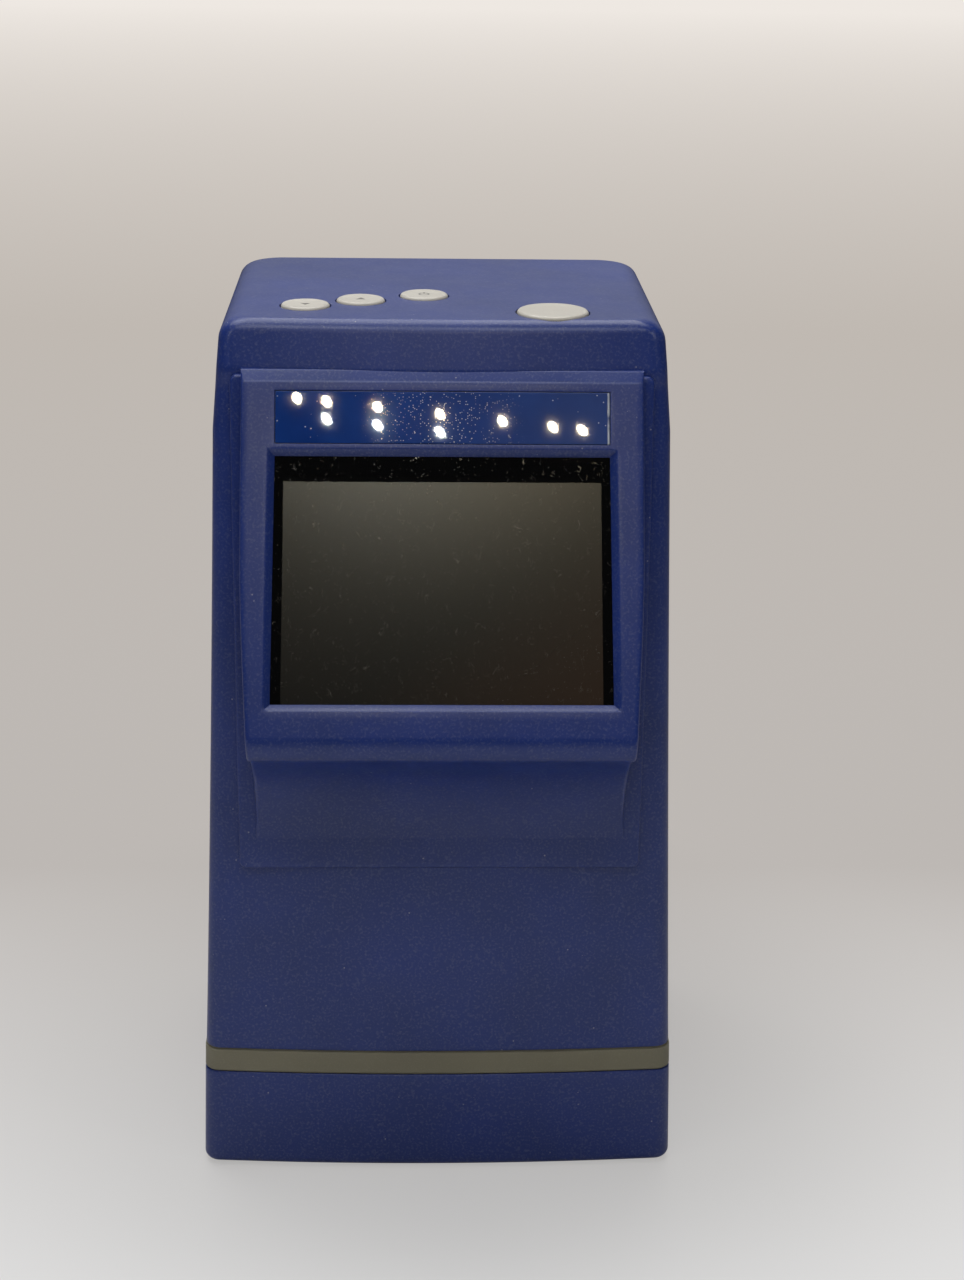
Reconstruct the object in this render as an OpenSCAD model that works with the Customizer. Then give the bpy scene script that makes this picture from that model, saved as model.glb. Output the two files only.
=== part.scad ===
// Film negative scanner: a tower on a low base, with a tilted screen under a small
// hood at the front, four keys on the top and a film slot through both sides.
// Millimetres. The origin is on the ground under the middle of the whole object,
// the screen faces -Y, and +Z is up.

/* [Tower] */
// Height of the flat top face above the ground
top_z = 158.2; // [154:0.2:164]
// Width of the tower where its shoulders begin
shoulder_w = 78.6; // [77:0.1:80]
// Depth of the tower at the ground line, front to back
tower_d = 75.5; // [73:0.1:80]
// Wall thickness of the casing mouldings
wall = 2; // [1.8:0.1:2.4]
// How far each side widens from the shoulders down to the trim band
side_lean = 3.5; // [2.4:0.1:4]
// Share of that widening that comes as a hollow curve
side_hollow = 0.34; // [0:0.02:0.6]
// Height of the shoulders
shoulder_h = 19; // [14:1:24]
// Angle at which the shoulders lean in
shoulder_a = 4.5; // [2:0.5:6]
// Radius of the edge between sides and top
side_edge_r = 4; // [3:0.1:5]
// Radius of the upright front, seen from the side
front_r = 1060; // [980:10:1300]
// Radius of the bow of the front, seen from above
bow_r = 556; // [450:2:900]
// How far the back leans in at the top
back_lean = 3.6; // [2:0.1:5]
// Radius of the two upright front corners
front_corner_r = 3; // [2.6:0.1:3.6]
// Radius of the two upright rear corners
back_corner_r = 5; // [4:0.1:6]
// Radius of the edge between front and top
top_edge_r = 1.5; // [1:0.1:2]
// Radius of the edge between back and top
back_edge_r = 3; // [2:0.1:4]

/* [Base and trim band] */
// How far the rubber feet stand out of the base
foot_proud = 0.6; // [0.4:0.1:1]
// Height of the top edge of the base above the ground
base_top_z = 20.1; // [19.6:0.1:20.4]
// Height of the trim band between base and tower
band_h = 4.8; // [4.2:0.1:5]
// How far base and band stand proud of the tower
base_step = 0.1; // [0.1:0.1:0.6]
// How far each side of the base widens down to the ground
base_draft = 0.6; // [0.2:0.1:1]
// Radius of the base's lower edge
base_edge_r = 1.6; // [1:0.1:2]
// Wall thickness of the base
base_wall = 2.4; // [2:0.1:2.8]
// Thickness of the base's floor
floor_t = 2; // [1.6:0.1:2.4]
// Height of the shadow grooves beside the band
groove = 0.3; // [0.2:0.05:0.4]
// Depth of the shadow grooves beside the band
groove_in = 0.4; // [0.3:0.1:0.8]

/* [Screen hood] */
// Width of the insert's border at its lower edge
panel_low_w = 71.3; // [70.4:0.1:73]
// Width of the insert's border at its upper edge
panel_top_w = 72; // [70.4:0.1:73]
// How far the insert's border reaches down below the hollow under the hood
panel_low = 5.7; // [4.4:0.1:7]
// How far the insert's upper edge lies below the top face
panel_drop = 8.9; // [8:0.1:9.4]
// How far the flat insert stands proud of the middle of the tower's front
panel_proud = 0.4; // [0.4:0.1:1]
// Width of the bevel round the insert panel
panel_bevel = 0.35; // [0.2:0.05:0.4]
// Width of the hood at the top of its screen face
hood_w = 68.1; // [67:0.1:69]
// How far each side of the hood draws in towards its lower end
hood_draw = 1.45; // [0:0.05:1.6]
// How far the hood's upper edge lies below the top face
hood_drop = 7.9; // [7.2:0.1:8.2]
// How far the screen face's top edge lies below the top face
face_drop = 9.6; // [9.2:0.1:10.2]
// How far the screen face's top edge stands out of the tower
face_proud = 1.8; // [1.5:0.1:2.2]
// Tilt of the screen face from upright
hood_tilt = 22.6; // [21:0.2:24]
// Length of the flat of the screen face below the window opening
face_low = 4.3; // [3.6:0.1:6]
// Radius of the hood's lip
lip_r = 5; // [4.4:0.1:5.6]
// Angle below level at which the lip ends in a crease
lip_turn = 34; // [28:1:40]
// Height of the hollow under the hood
scoop_h = 21.5; // [20:0.1:23]

/* [Screen] */
// Width of the window opening at its upper and at its lower edge
window_w = 58.7; // [57:0.1:59]
window_low_w = 60; // [59:0.1:60.4]
// Height of the window opening at the face
window_h = 44; // [42:0.1:44.4]
// Distance from the face's top edge to the window opening
window_t = 11.4; // [11.2:0.1:11.8]
// Bevel round the window opening
window_bevel = 1.2; // [1:0.1:1.3]
// Thickness of the window pane
pane_t = 1.2; // [1:0.1:1.4]
// Width of the gloss strip above the window
strip_w = 56.3; // [54:0.1:58]
// Height of the gloss strip
strip_h = 8.8; // [8:0.1:8.9]
// Distance from the face's top edge to the gloss strip
strip_t = 1.6; // [1.5:0.1:1.8]
// Thickness of the gloss strip
strip_thick = 1; // [0.8:0.1:1.1]
// Thickness of the display
lcd_thick = 2.2; // [2:0.1:2.4]

/* [Keys] */
// Diameter of the three small keys
small_key_d = 8.5; // [7.6:0.1:8.8]
// Diameter of the large key
large_key_d = 12.4; // [11:0.1:12.6]
// How far the keys stand out of the top face
key_proud = 0.3; // [0.3:0.1:1]
// Travel of every key
key_travel = 0.4; // [0.3:0.05:0.5]
// Gap round each key in its hole
key_gap = 0.25; // [0.2:0.05:0.35]
// Places of the keys on the top face, across and back from its front edge
left_key = [-23.7, 12.7];
right_key = [-14.2, 17.2];
power_key = [-3.1, 21.7];
ok_key = [19, 8.4];

/* [Film path] */
// Width of the slot that the film tray goes through
slot_w = 57; // [55:0.5:58]
// Height of the slot that the film tray goes through
slot_h = 7.5; // [7:0.1:8]
// Width and height of one negative on the film
frame_size = [36, 24];
// Distance from the film up to the lens
lens_distance = 47; // [44:0.5:50]

/* [Boards and sockets] */
// Thickness of the circuit boards
board_t = 1.6; // [1.2:0.1:1.8]
// Height of the main board's underside
main_board_z = 104; // [101:0.5:108]
// Place of the card socket, data socket and video jack across the back
sd_x = -12;
usb_x = 12;
av_x = 25;
// Bore of the video jack
av_bore_d = 3.5; // [2.5:0.1:3.6]

/* [Hidden] */

$fn = 64;
eps = 0.01;
blue = "#2c3768";
band_grey = "#58554b";
key_white = "#d8d4cc";
board_green = "#1f5a3a";
black_plastic = "#1a1a1c";
steel = "#a9acb0";

// Smoothness of the lofted shells
corner_n = 5;
bow_n = 10;
roll_n = 12;
plate_n = 10;

// Screws: pilot holes, clearance holes and the gap between shank and plastic
shank_d = 2;
pilot_d = 2.2;
clear_d = 2.6;
head_d = 4;
head_h = 1.4;
boss_r = 2.6;
fit_gap = 0.15;

// Long enough to cut through any wall
through = 20;

// The outline of the whole object, front to back
face_top_z = top_z - face_drop;
face_len = window_t + window_h + face_low;
hood_top_z = top_z - hood_drop;
hood_reach = -face_top_z*face_top_z/(2*front_r) + face_proud + face_len*sin(hood_tilt)
    + lip_r*(1 - cos(hood_tilt));
overall_d = hood_reach + tower_d + base_step;
tower_back_0 = overall_d/2 - base_step;
tower_front_0 = tower_back_0 - tower_d;

base_bottom_z = foot_proud;
base_widest_z = base_bottom_z + base_edge_r;
tower_z = base_top_z + band_h;
lean_a = atan(back_lean/top_z);

// Surfaces of the tower
function front_y(z) = tower_front_0 + z*z/(2*front_r);
function back_y(z) = tower_back_0 - back_lean*(z - base_widest_z)/top_z;
function roll(z, h, a) = z <= top_z - h ? 0 : a*(1 - sqrt(max(0, 1 - pow((z - top_z + h)/h, 2))));

// Half width: hollow sides up to the shoulders, then a straight lean and a round edge
kink_z = top_z - shoulder_h;
side_edge_z = top_z - side_edge_r*(1 - sin(shoulder_a));
side_edge_x = shoulder_w/2 - (side_edge_z - kink_z)*tan(shoulder_a) - side_edge_r*cos(shoulder_a);
function half_w(z) = let (f = (kink_z - z)/(kink_z - tower_z), up = z - top_z + side_edge_r)
    z <= kink_z ? shoulder_w/2 + side_lean*(f*(1 - side_hollow) + f*f*side_hollow)
    : z <= side_edge_z ? shoulder_w/2 - (z - kink_z)*tan(shoulder_a)
    : side_edge_x + sqrt(max(0, side_edge_r*side_edge_r - up*up));
tower_w = shoulder_w + 2*side_lean;

function arc(cx, cy, r, a0, a1, n) = [for (i = [0:n]) let (a = a0 + (a1 - a0)*i/n) [cx + r*cos(a), cy + r*sin(a)]];

// One level slice, counter-clockwise from the left front corner: the front is an arc of
// radius bow_r, and every corner arc is tangent to its two neighbours
function slice(hw, yf, yb, rf, rb) =
    let (fx = hw - rf,
         cy = yf + bow_r - sqrt(pow(bow_r - rf, 2) - fx*fx),
         phi = asin(fx/(bow_r - rf)))
    concat(arc(-fx, cy, rf, 180, 270 - phi, corner_n),
        [for (i = [1:bow_n - 1]) let (a = 270 - phi + 2*phi*i/bow_n)
            [bow_r*cos(a), yf + bow_r + bow_r*sin(a)]],
        arc(fx, cy, rf, 270 + phi, 360, corner_n),
        arc(hw - rb, yb - rb, rb, 0, 90, corner_n),
        arc(-(hw - rb), yb - rb, rb, 90, 180, corner_n));

// Slice of the tower at height z, with its surface moved in by inset
function tower_slice(z, inset) = slice(half_w(z) - inset,
    front_y(z) + roll(z, top_edge_r, top_edge_r) + inset,
    back_y(z) - roll(z, 1.3*back_edge_r, back_edge_r) - inset,
    max(front_corner_r - inset, 0.8), max(back_corner_r - inset, 0.8));

// Slice of the base at height z, moved in by inset
function base_slice(z, inset) =
    slice(half_w(base_top_z) + base_step + base_draft*(base_top_z - z)/base_top_z - inset,
        front_y(z) - base_step + inset, back_y(z) + base_step - inset,
        max(front_corner_r - inset, 0.8), max(back_corner_r - inset, 0.8));

// Heights of the tower's slices: even steps up to the shoulders, the foot of the round
// edge, then closing up to the top
function tower_levels(z0, z1, steps) = concat(
    [for (i = [0:steps]) z0 + (kink_z - z0)*i/steps],
    [for (i = [0:roll_n]) let (z = top_z - (top_z - side_edge_z)*(1 - sin(90*i/roll_n))) if (z < z1 - 0.1) z],
    [z1]);

// Solid through a stack of level outlines, given as [height, points]
module loft(rings) {
    n = len(rings[0][1]);
    last = len(rings) - 1;
    polyhedron(
        points = [for (r = rings) for (p = r[1]) [p.x, p.y, r[0]]],
        faces = concat([[for (i = [0:n - 1]) i]], [[for (i = [n - 1:-1:0]) last*n + i]],
            [for (k = [0:last - 1]) for (i = [0:n - 1]) let (j = (i + 1) % n)
                each [[k*n + i, (k + 1)*n + i, (k + 1)*n + j], [k*n + i, (k + 1)*n + j, k*n + j]]]));
}

// Straight ring that follows the tower's outline, between two insets
module outline_ring(z0, z1, outer, inner) {
    difference() {
        loft([for (z = [z0, z1]) [z, tower_slice(z, outer)]]);
        loft([for (z = [z0 - 1, z1 + 1]) [z, tower_slice(z, inner)]]);
    }
}

// Plate that follows the tower's front in side view and is flat from left to right, with a
// bevelled rim: it reaches from sunk behind the front to proud before it, and half holds
// its half widths at the lower and upper edge
module front_plate(half, z0, z1, proud, sunk, bevel) {
    rim = bevel > 0;
    zs = concat(rim ? [z0] : [], [for (i = [0:plate_n]) z0 + bevel + (z1 - z0 - 2*bevel)*i/plate_n], rim ? [z1] : []);
    sides = rim ? [-1, -1, 1, 1] : [-1, 1];
    n = len(sides);
    rows = len(zs);
    back = n*rows;
    function wide(z) = half[0] + (half[1] - half[0])*(z - z0)/(z1 - z0);
    function inner(i) = rim && i > 0 && i < n - 1;
    function px(i, z) = sides[i]*(wide(z) - (inner(i) ? bevel : 0));
    function drop(i, j) = rim && (!inner(i) || j == 0 || j == rows - 1) ? bevel : 0;
    polyhedron(
        points = concat(
            [for (j = [0:rows - 1]) for (i = [0:n - 1]) [px(i, zs[j]), front_y(zs[j]) - proud + drop(i, j), zs[j]]],
            [for (j = [0:rows - 1]) for (i = [0:n - 1]) [px(i, zs[j]), front_y(zs[j]) + sunk, zs[j]]]),
        faces = concat(
            [for (j = [0:rows - 2]) for (i = [0:n - 2]) let (a = j*n + i)
                each [[a, a + n, a + n + 1], [a, a + n + 1, a + 1],
                    [back + a, back + a + 1, back + a + n + 1], [back + a, back + a + n + 1, back + a + n]]],
            [for (i = [0:n - 2]) let (b = (rows - 1)*n + i)
                each [[i, i + 1, back + i + 1], [i, back + i + 1, back + i],
                    [b + 1, b, back + b], [b + 1, back + b, back + b + 1]]],
            [for (j = [0:rows - 2]) let (l = j*n, r = j*n + n - 1)
                each [[back + l, back + l + n, l + n], [back + l, l + n, l],
                    [r, r + n, back + r + n], [r, back + r + n, back + r]]]));
}

// Rectangle with round corners, centred
module round_rect(w, h, r) {
    square([w - 2*r, h], center = true);
    square([w, h - 2*r], center = true);
    for (x = [-1, 1]) for (y = [-1, 1]) translate([x*(w/2 - r), y*(h/2 - r)]) circle(r);
}

module round_plate(w, h, t, r) {
    linear_extrude(t) round_rect(w, h, r);
}

// Profile in the Y-Z plane, drawn out across X
module across(w) {
    translate([-w/2, 0, 0]) rotate([90, 0, 90]) linear_extrude(w) children();
}

module at_corners(x, y) {
    for (sx = [-1, 1]) for (sy = [-1, 1]) translate([sx*x, sy*y, 0]) children();
}

// Screw with its head's underside at the origin and its shank down along -Z
module screw(len) {
    cylinder(d = head_d, h = head_h);
    translate([0, 0, -len]) cylinder(d = shank_d, h = len + eps);
}

// ---- The screen face's own frame: x across, y down the slope, z into the object ----
face_top_y = front_y(face_top_z) - face_proud;
module on_face() {
    translate([0, face_top_y, face_top_z]) rotate([-90 - hood_tilt, 0, 0]) children();
}
function face_point(t, d) = [face_top_y - t*sin(hood_tilt) + d*cos(hood_tilt),
    face_top_z - t*cos(hood_tilt) - d*sin(hood_tilt)];

// Lip, crease and the hollow under the hood, all in the Y-Z plane
lip_c = face_point(face_len, lip_r);
function lip_point(r) = lip_c - r*[cos(lip_turn), sin(lip_turn)];
crease = lip_point(lip_r);
scoop_z = crease.y - scoop_h;
panel_z0 = scoop_z - panel_low;
panel_z1 = top_z - panel_drop;
scoop_y = front_y(scoop_z) - panel_proud;
scoop_dy = scoop_y - crease.x;
scoop_dz = crease.y - scoop_z;
scoop_r = (scoop_dy*scoop_dy + scoop_dz*scoop_dz)/(2*scoop_dy);
panel_sunk = wall/2 + 0.2;
panel_half = [panel_low_w/2, panel_top_w/2];
inside_y = front_y(top_z) + 3*wall;
hood_room_half = hood_w/2 - hood_draw - wall + 0.3;

module hood_profile() {
    difference() {
        union() {
            polygon([[face_top_y, face_top_z], face_point(face_len, 0), lip_c, crease,
                [crease.x, scoop_z], [inside_y, scoop_z], [inside_y, hood_top_z],
                [face_top_y + hood_top_z - face_top_z, hood_top_z]]);
            translate(lip_c) circle(lip_r);
        }
        translate([scoop_y - scoop_r, scoop_z]) circle(scoop_r, $fn = 128);
    }
}

// Hood seen from the front: its sides draw in on a soft curve, from the middle of the
// screen face down to a little below the crease
draw_z = [face_point(face_len/2, 0).y, crease.y - 2*lip_r];
module hood_front(grow) {
    steps = 16;
    function half(z) = let (f = min(1, max(0, (draw_z[0] - z)/(draw_z[0] - draw_z[1]))))
        hood_w/2 - hood_draw*f*f*(3 - 2*f) + grow;
    side = [for (i = [0:steps]) let (z = panel_z0 + (top_z - panel_z0)*i/steps) [half(z), z]];
    translate([0, inside_y, 0]) rotate([90, 0, 0]) linear_extrude(overall_d)
        polygon(concat(side, [for (i = [steps:-1:0]) [-side[i].x, side[i].y]]));
}

// Inside of the hood, one wall in from its outside
hood_room_t = strip_t + 5;
hood_room_z = scoop_z + wall;
module hood_room() {
    inner_lip = lip_point(lip_r - wall);
    difference() {
        union() {
            polygon([face_point(hood_room_t, wall), face_point(face_len, wall), lip_c, inner_lip,
                [inner_lip.x, hood_room_z], [inside_y, hood_room_z],
                [inside_y, face_point(hood_room_t, wall).y]]);
            translate(lip_c) circle(lip_r - wall);
        }
        translate([scoop_y - scoop_r, scoop_z]) circle(scoop_r + wall, $fn = 128);
    }
}

// ---- Screen ----
pane_d = window_bevel;
pane_size = [window_low_w + 0.8, window_h + 1.2];
pane_t0 = window_t - 0.2;
lcd_over = [0.3, 1.5];
lcd_size = [window_w + lcd_over.x, window_h + lcd_over.y, lcd_thick];
lcd_t0 = window_t + 1.6;
lcd_d = pane_d + pane_t + 0.2;
frame_wall = 0.8;
frame_t = 0.8;
frame_gap = 0.2;
lcd_back_d = lcd_d + lcd_size.z;
frame_w = lcd_size.x + 2*(frame_gap + frame_wall);
frame_h = lcd_size.y + 2*(frame_gap + frame_wall);
frame_t0 = lcd_t0 - frame_gap - frame_wall;
tab_x = 20;
tab_boss_r = 2;
tab_t = pane_t0 - tab_boss_r - 0.35;
tab_r = 2.2;
bezel_boss_x = 26;
bezel_boss_z = [(panel_z0 + scoop_z)/2, face_top_z - 4.4];
bezel_boss_len = wall + 1;
collar_r = boss_r + 1.2;
front_opening = [2*(bezel_boss_x + boss_r + 2.9), scoop_z + 1.2, bezel_boss_z[1] - boss_r - 0.7];

function bezel_boss_y(z) = front_y(z) + panel_sunk - 0.3;
module screen_bezel() color(blue) {
    difference() {
        union() {
            front_plate(panel_half, panel_z0, panel_z1, panel_proud, panel_sunk, panel_bevel);
            intersection() {
                across(hood_w) hood_profile();
                hood_front(0);
            }
        }
        // behind the insert's back face
        front_plate([hood_w, hood_w], panel_z0 - 5, top_z, -panel_sunk, 30, 0);
        across(2*hood_room_half) hood_room();
        on_face() {
            // bevelled window opening
            loft([for (s = [[-eps, 0], [window_bevel + eps, window_bevel]])
                [s[0], [for (c = [[-1, 0], [1, 0], [1, 1], [-1, 1]])
                    [c.x*((c.y == 0 ? window_w : window_low_w)/2 - s[1]), window_t + s[1] + c.y*(window_h - 2*s[1])]]]]);
            // pocket for the pane, open to the inside
            translate([-pane_size.x/2 - fit_gap, pane_t0 - fit_gap, pane_d])
                cube([pane_size.x + 2*fit_gap, pane_size.y + 2*fit_gap, wall]);
            translate([-strip_w/2 - fit_gap, strip_t - fit_gap, -1])
                cube([strip_w + 2*fit_gap, strip_h + 2*fit_gap, strip_thick + 1.05]);
        }
    }
    // screw bosses for the insert itself
    for (x = [-1, 1]) for (z = bezel_boss_z) difference() {
        translate([x*bezel_boss_x, bezel_boss_y(z), z]) rotate([-90, 0, 0])
            cylinder(r = boss_r - 0.3, h = bezel_boss_len);
        translate([x*bezel_boss_x, bezel_boss_y(z) - 0.2, z]) rotate([-90, 0, 0])
            cylinder(d = pilot_d, h = bezel_boss_len + 2);
    }
    on_face() {
        // bosses for the display tray's tabs
        for (x = [-1, 1]) difference() {
            translate([x*tab_x, tab_t, wall - 0.3]) cylinder(r = tab_boss_r, h = lcd_back_d - wall + 0.3);
            translate([x*tab_x, tab_t, wall]) cylinder(d = pilot_d - 0.6, h = lcd_back_d);
        }
        // ribs that hold the lower end of the tray
        for (x = [-1, 1]) translate([x*(hood_room_half - 1.2) - 1.5, frame_t0 + frame_h - 5, lcd_back_d + frame_t])
            cube([3, 4, 1.6]);
    }
}

module gloss_strip() color("#19326e") on_face()
    translate([-strip_w/2, strip_t, 0.05]) cube([strip_w, strip_h, strip_thick]);

module screen_window() color("#0c0c0e") on_face()
    translate([-pane_size.x/2, pane_t0, pane_d]) cube([pane_size.x, pane_size.y, pane_t]);

module lcd_panel() color("#4a4947") on_face()
    translate([-lcd_size.x/2, lcd_t0, lcd_d]) cube(lcd_size);

module lcd_frame() color(steel) on_face() difference() {
    union() {
        translate([-frame_w/2, frame_t0, lcd_d]) cube([frame_w, frame_h, lcd_size.z + frame_t]);
        for (x = [-1, 1]) translate([x*tab_x, 0, lcd_back_d]) {
            translate([0, tab_t, 0]) cylinder(r = tab_r, h = frame_t);
            translate([-tab_r, tab_t, 0]) cube([2*tab_r, frame_t0 - tab_t + 0.5, frame_t]);
        }
    }
    translate([-frame_w/2 + frame_wall, frame_t0 + frame_wall, lcd_d - 1])
        cube([frame_w - 2*frame_wall, frame_h - 2*frame_wall, lcd_size.z + 1]);
    // opening for the display's ribbon
    translate([-flex_w/2 - 1, frame_t0 + frame_h - 8, lcd_d]) cube([flex_w + 2, 3, 5]);
    for (x = [-1, 1]) translate([x*tab_x, tab_t, 0]) cylinder(d = shank_d - 0.2, h = through);
}

module lcd_screws() color(steel) on_face() for (x = [-1, 1])
    translate([x*tab_x, tab_t, lcd_back_d + frame_t]) {
        cylinder(d = head_d - 0.8, h = head_h - 0.4);
        translate([0, 0, -3]) cylinder(d = shank_d - 0.6, h = 3 + eps);
    }

// Ribbon from the display's lower edge, back and up over the camera to the main board
flex_w = 22;
flex_t = 0.4;
wire_t = 0.8;
module ribbon(w, t, route) {
    across(w) for (i = [0:len(route) - 2]) let (a = route[i], b = route[i + 1], d = b - a,
        n = [-d.y, d.x]*(t/2)/norm(d), e = d*(t/2)/norm(d))
        polygon([a - e + n, b + e + n, b + e - n, a - e - n]);
}
flex_start = face_point(frame_t0 + frame_h - 6.5, lcd_back_d + flex_t/2);
module lcd_flex() color("#8a5a22") {
    back = face_point(frame_t0 + frame_h - 6.5, lcd_back_d + 5);
    ribbon(flex_w, flex_t, [flex_start, back, [main_front_y - 8, main_board_z + board_t + 2],
        [main_front_y + 1, main_board_z + board_t + flex_t/2], [main_front_y + 4, main_board_z + board_t + flex_t/2]]);
}

// ---- Keys ----
ceiling_z = top_z - wall;
key_flange_z = ceiling_z - 0.15;
key_flange_t = 1;
key_stem_r = 2;
switch_size = [6, 6, 3.5];
plunger_r = 1.7;
plunger_up = 0.8;
plunger_in = 2.2;
key_stem_z = key_flange_z - key_flange_t - 1.2;
key_board_z = key_stem_z - plunger_up - switch_size.z - board_t;
top_front_y = front_y(top_z);
key_places = [for (p = [left_key, right_key, power_key, ok_key]) [p.x, top_front_y + p.y]];
key_sizes = [small_key_d, small_key_d, small_key_d, large_key_d];
key_edge = 0.35;
key_flange = 0.6;
key_board_w = 64;
key_board_d = 25;
key_board_in = 2.6;
key_board_y = [top_front_y + key_board_in, top_front_y + key_board_in + key_board_d];
key_boss_x = 29.5;
key_boss_y = [key_board_y[0] + 3.6, key_board_y[1] - 3.4];

// Round key: cap with a rounded rim, retaining flange under the top face, stem
module key(i) {
    r = key_sizes[i]/2;
    z1 = top_z + key_proud;
    translate([key_places[i].x, key_places[i].y, 0]) rotate_extrude() {
        translate([0, key_flange_z - eps]) square([r - key_edge, z1 - key_flange_z + eps]);
        translate([0, key_flange_z - eps]) square([r, z1 - key_edge - key_flange_z + eps]);
        intersection() {
            translate([r - key_edge, z1 - key_edge]) circle(key_edge);
            translate([r - key_edge, z1 - key_edge]) square(key_edge);
        }
        translate([0, key_flange_z - key_flange_t]) square([r + key_flange, key_flange_t]);
        translate([0, key_stem_z]) square([key_stem_r, key_flange_z - key_stem_z - eps]);
    }
}
module left_button() color(key_white) key(0);
module right_button() color(key_white) key(1);
module power_button() color(key_white) key(2);
module ok_button() color(key_white) key(3);

module plunger(i) {
    translate([key_places[i].x, key_places[i].y, key_stem_z - plunger_up - plunger_in])
        cylinder(r = plunger_r, h = plunger_up + plunger_in);
}
module left_plunger() color("#303030") plunger(0);
module right_plunger() color("#303030") plunger(1);
module power_plunger() color("#303030") plunger(2);
module ok_plunger() color("#303030") plunger(3);

module switch_bodies() color("#b9b9b9") for (p = key_places)
    translate([p.x, p.y, key_board_z + board_t]) difference() {
        translate([-switch_size.x/2, -switch_size.y/2, 0]) cube(switch_size);
        translate([0, 0, switch_size.z - plunger_in - key_travel - 0.2])
            cylinder(r = plunger_r + 0.2, h = switch_size.z);
    }

module key_board() color(board_green) difference() {
    translate([-key_board_w/2, key_board_y[0], key_board_z])
        cube([key_board_w, key_board_y[1] - key_board_y[0], board_t]);
    for (x = [-1, 1]) for (y = key_boss_y) translate([x*key_boss_x, y, key_board_z - 1])
        cylinder(d = clear_d, h = board_t + 2);
}

module key_screws() color(steel) for (x = [-1, 1]) for (y = key_boss_y)
    translate([x*key_boss_x, y, key_board_z]) mirror([0, 0, 1]) screw(board_t + 4);

// ---- Film path ----
slot_y = (tower_front_0 + tower_back_0)/2;
slot_z = tower_z + 1.1;
slot_top_z = slot_z + slot_h;
track_gap = 0.2;
track_floor_t = 2.4;
rail_t = 4;
rail_half = 33.5;
track_half = tower_w/2 - wall - 1.7;
rail_y = slot_w/2 + rail_t/2;
track_z = slot_z - track_gap - track_floor_t;
gate_z = slot_top_z + track_gap;
gate_t = 1.8;
gate_screw_x = 30.5;
light_box_size = [frame_size.x + 10, frame_size.y + 10];
light_box_wall = 1.4;
diffuser_t = 2;
led_board_size = [light_box_size.x + 12, light_box_size.y + 12];
led_board_z = base_bottom_z + floor_t + 1;
pillar_r = 2.4;

module at_slot(z) translate([0, slot_y, z]) children();

// Bed and rails of the film tray
spring_x = 9;
module film_track() color(black_plastic) at_slot(track_z) difference() {
    union() {
        translate([-track_half, -slot_w/2 - 0.3, 0]) cube([2*track_half, slot_w + 0.6, track_floor_t]);
        translate([-rail_half, -slot_w/2 - rail_t, 0])
            cube([2*rail_half, slot_w + 2*rail_t, track_floor_t]);
        for (s = [-1, 1]) translate([-rail_half, s*rail_y - rail_t/2, 0])
            cube([2*rail_half, rail_t, gate_z - track_z]);
    }
    translate([-frame_size.x/2 - 1, -frame_size.y/2 - 1, -1])
        cube([frame_size.x + 2, frame_size.y + 2, track_floor_t + 2]);
    at_corners(gate_screw_x, rail_y) translate([0, 0, -1]) cylinder(d = clear_d - 0.2, h = through);
    // window for the click spring
    translate([-spring_x, -rail_y - rail_t, track_floor_t + slot_h/2 - 2])
        cube([2*spring_x, 2*rail_t, 4.4]);
}

// Bent leaf that drops into the tray's notches
leaf_t = 0.35;
leaf_bump = 0.7;
module track_spring() color(steel) at_slot(track_z + track_floor_t + slot_h/2 - 1.8) linear_extrude(4) {
    y0 = -slot_w/2 - rail_t - leaf_t;
    y1 = -slot_w/2 + leaf_bump - leaf_t;
    outer = [[-spring_x - 3, y0], [-spring_x + 0.5, y0], [-2, y1], [2, y1], [spring_x - 0.5, y0], [spring_x + 3, y0]];
    polygon(concat(outer, [for (i = [5:-1:0]) outer[i] + [0, leaf_t]]));
}

// Frame above the film
module film_gate() color(black_plastic) at_slot(gate_z) difference() {
    translate([-rail_half, -slot_w/2 - rail_t, 0]) cube([2*rail_half, slot_w + 2*rail_t, gate_t]);
    translate([-frame_size.x/2 - 0.5, -frame_size.y/2 - 0.5, -1])
        cube([frame_size.x + 1, frame_size.y + 1, gate_t + 2]);
    at_corners(gate_screw_x, rail_y) translate([0, 0, -1]) cylinder(d = clear_d - 0.2, h = through);
    at_corners(tunnel_foot.x/2 - 2.6, tunnel_foot.y/2 - 2.6) translate([0, 0, 0.4]) cylinder(d = pilot_d - 0.1, h = 5);
}

module gate_screws() color(steel) at_slot(gate_z + gate_t) at_corners(gate_screw_x, rail_y)
    screw(gate_t + slot_h + 2*track_gap + track_floor_t + 6);

// Black funnel from the gate to the lens
tunnel_z = gate_z + gate_t;
tunnel_base = [frame_size.x + 4, frame_size.y + 4];
tunnel_foot = tunnel_base + [12, 12];
tunnel_wall = 1.2;
tunnel_top = 18;
tunnel_plate = 32;
plate_t = 1.6;
lens_z = slot_z + slot_h/2 + lens_distance;
tunnel_top_z = lens_z - 1;
sensor_z = lens_z + 13;
post_x = 13;

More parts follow.
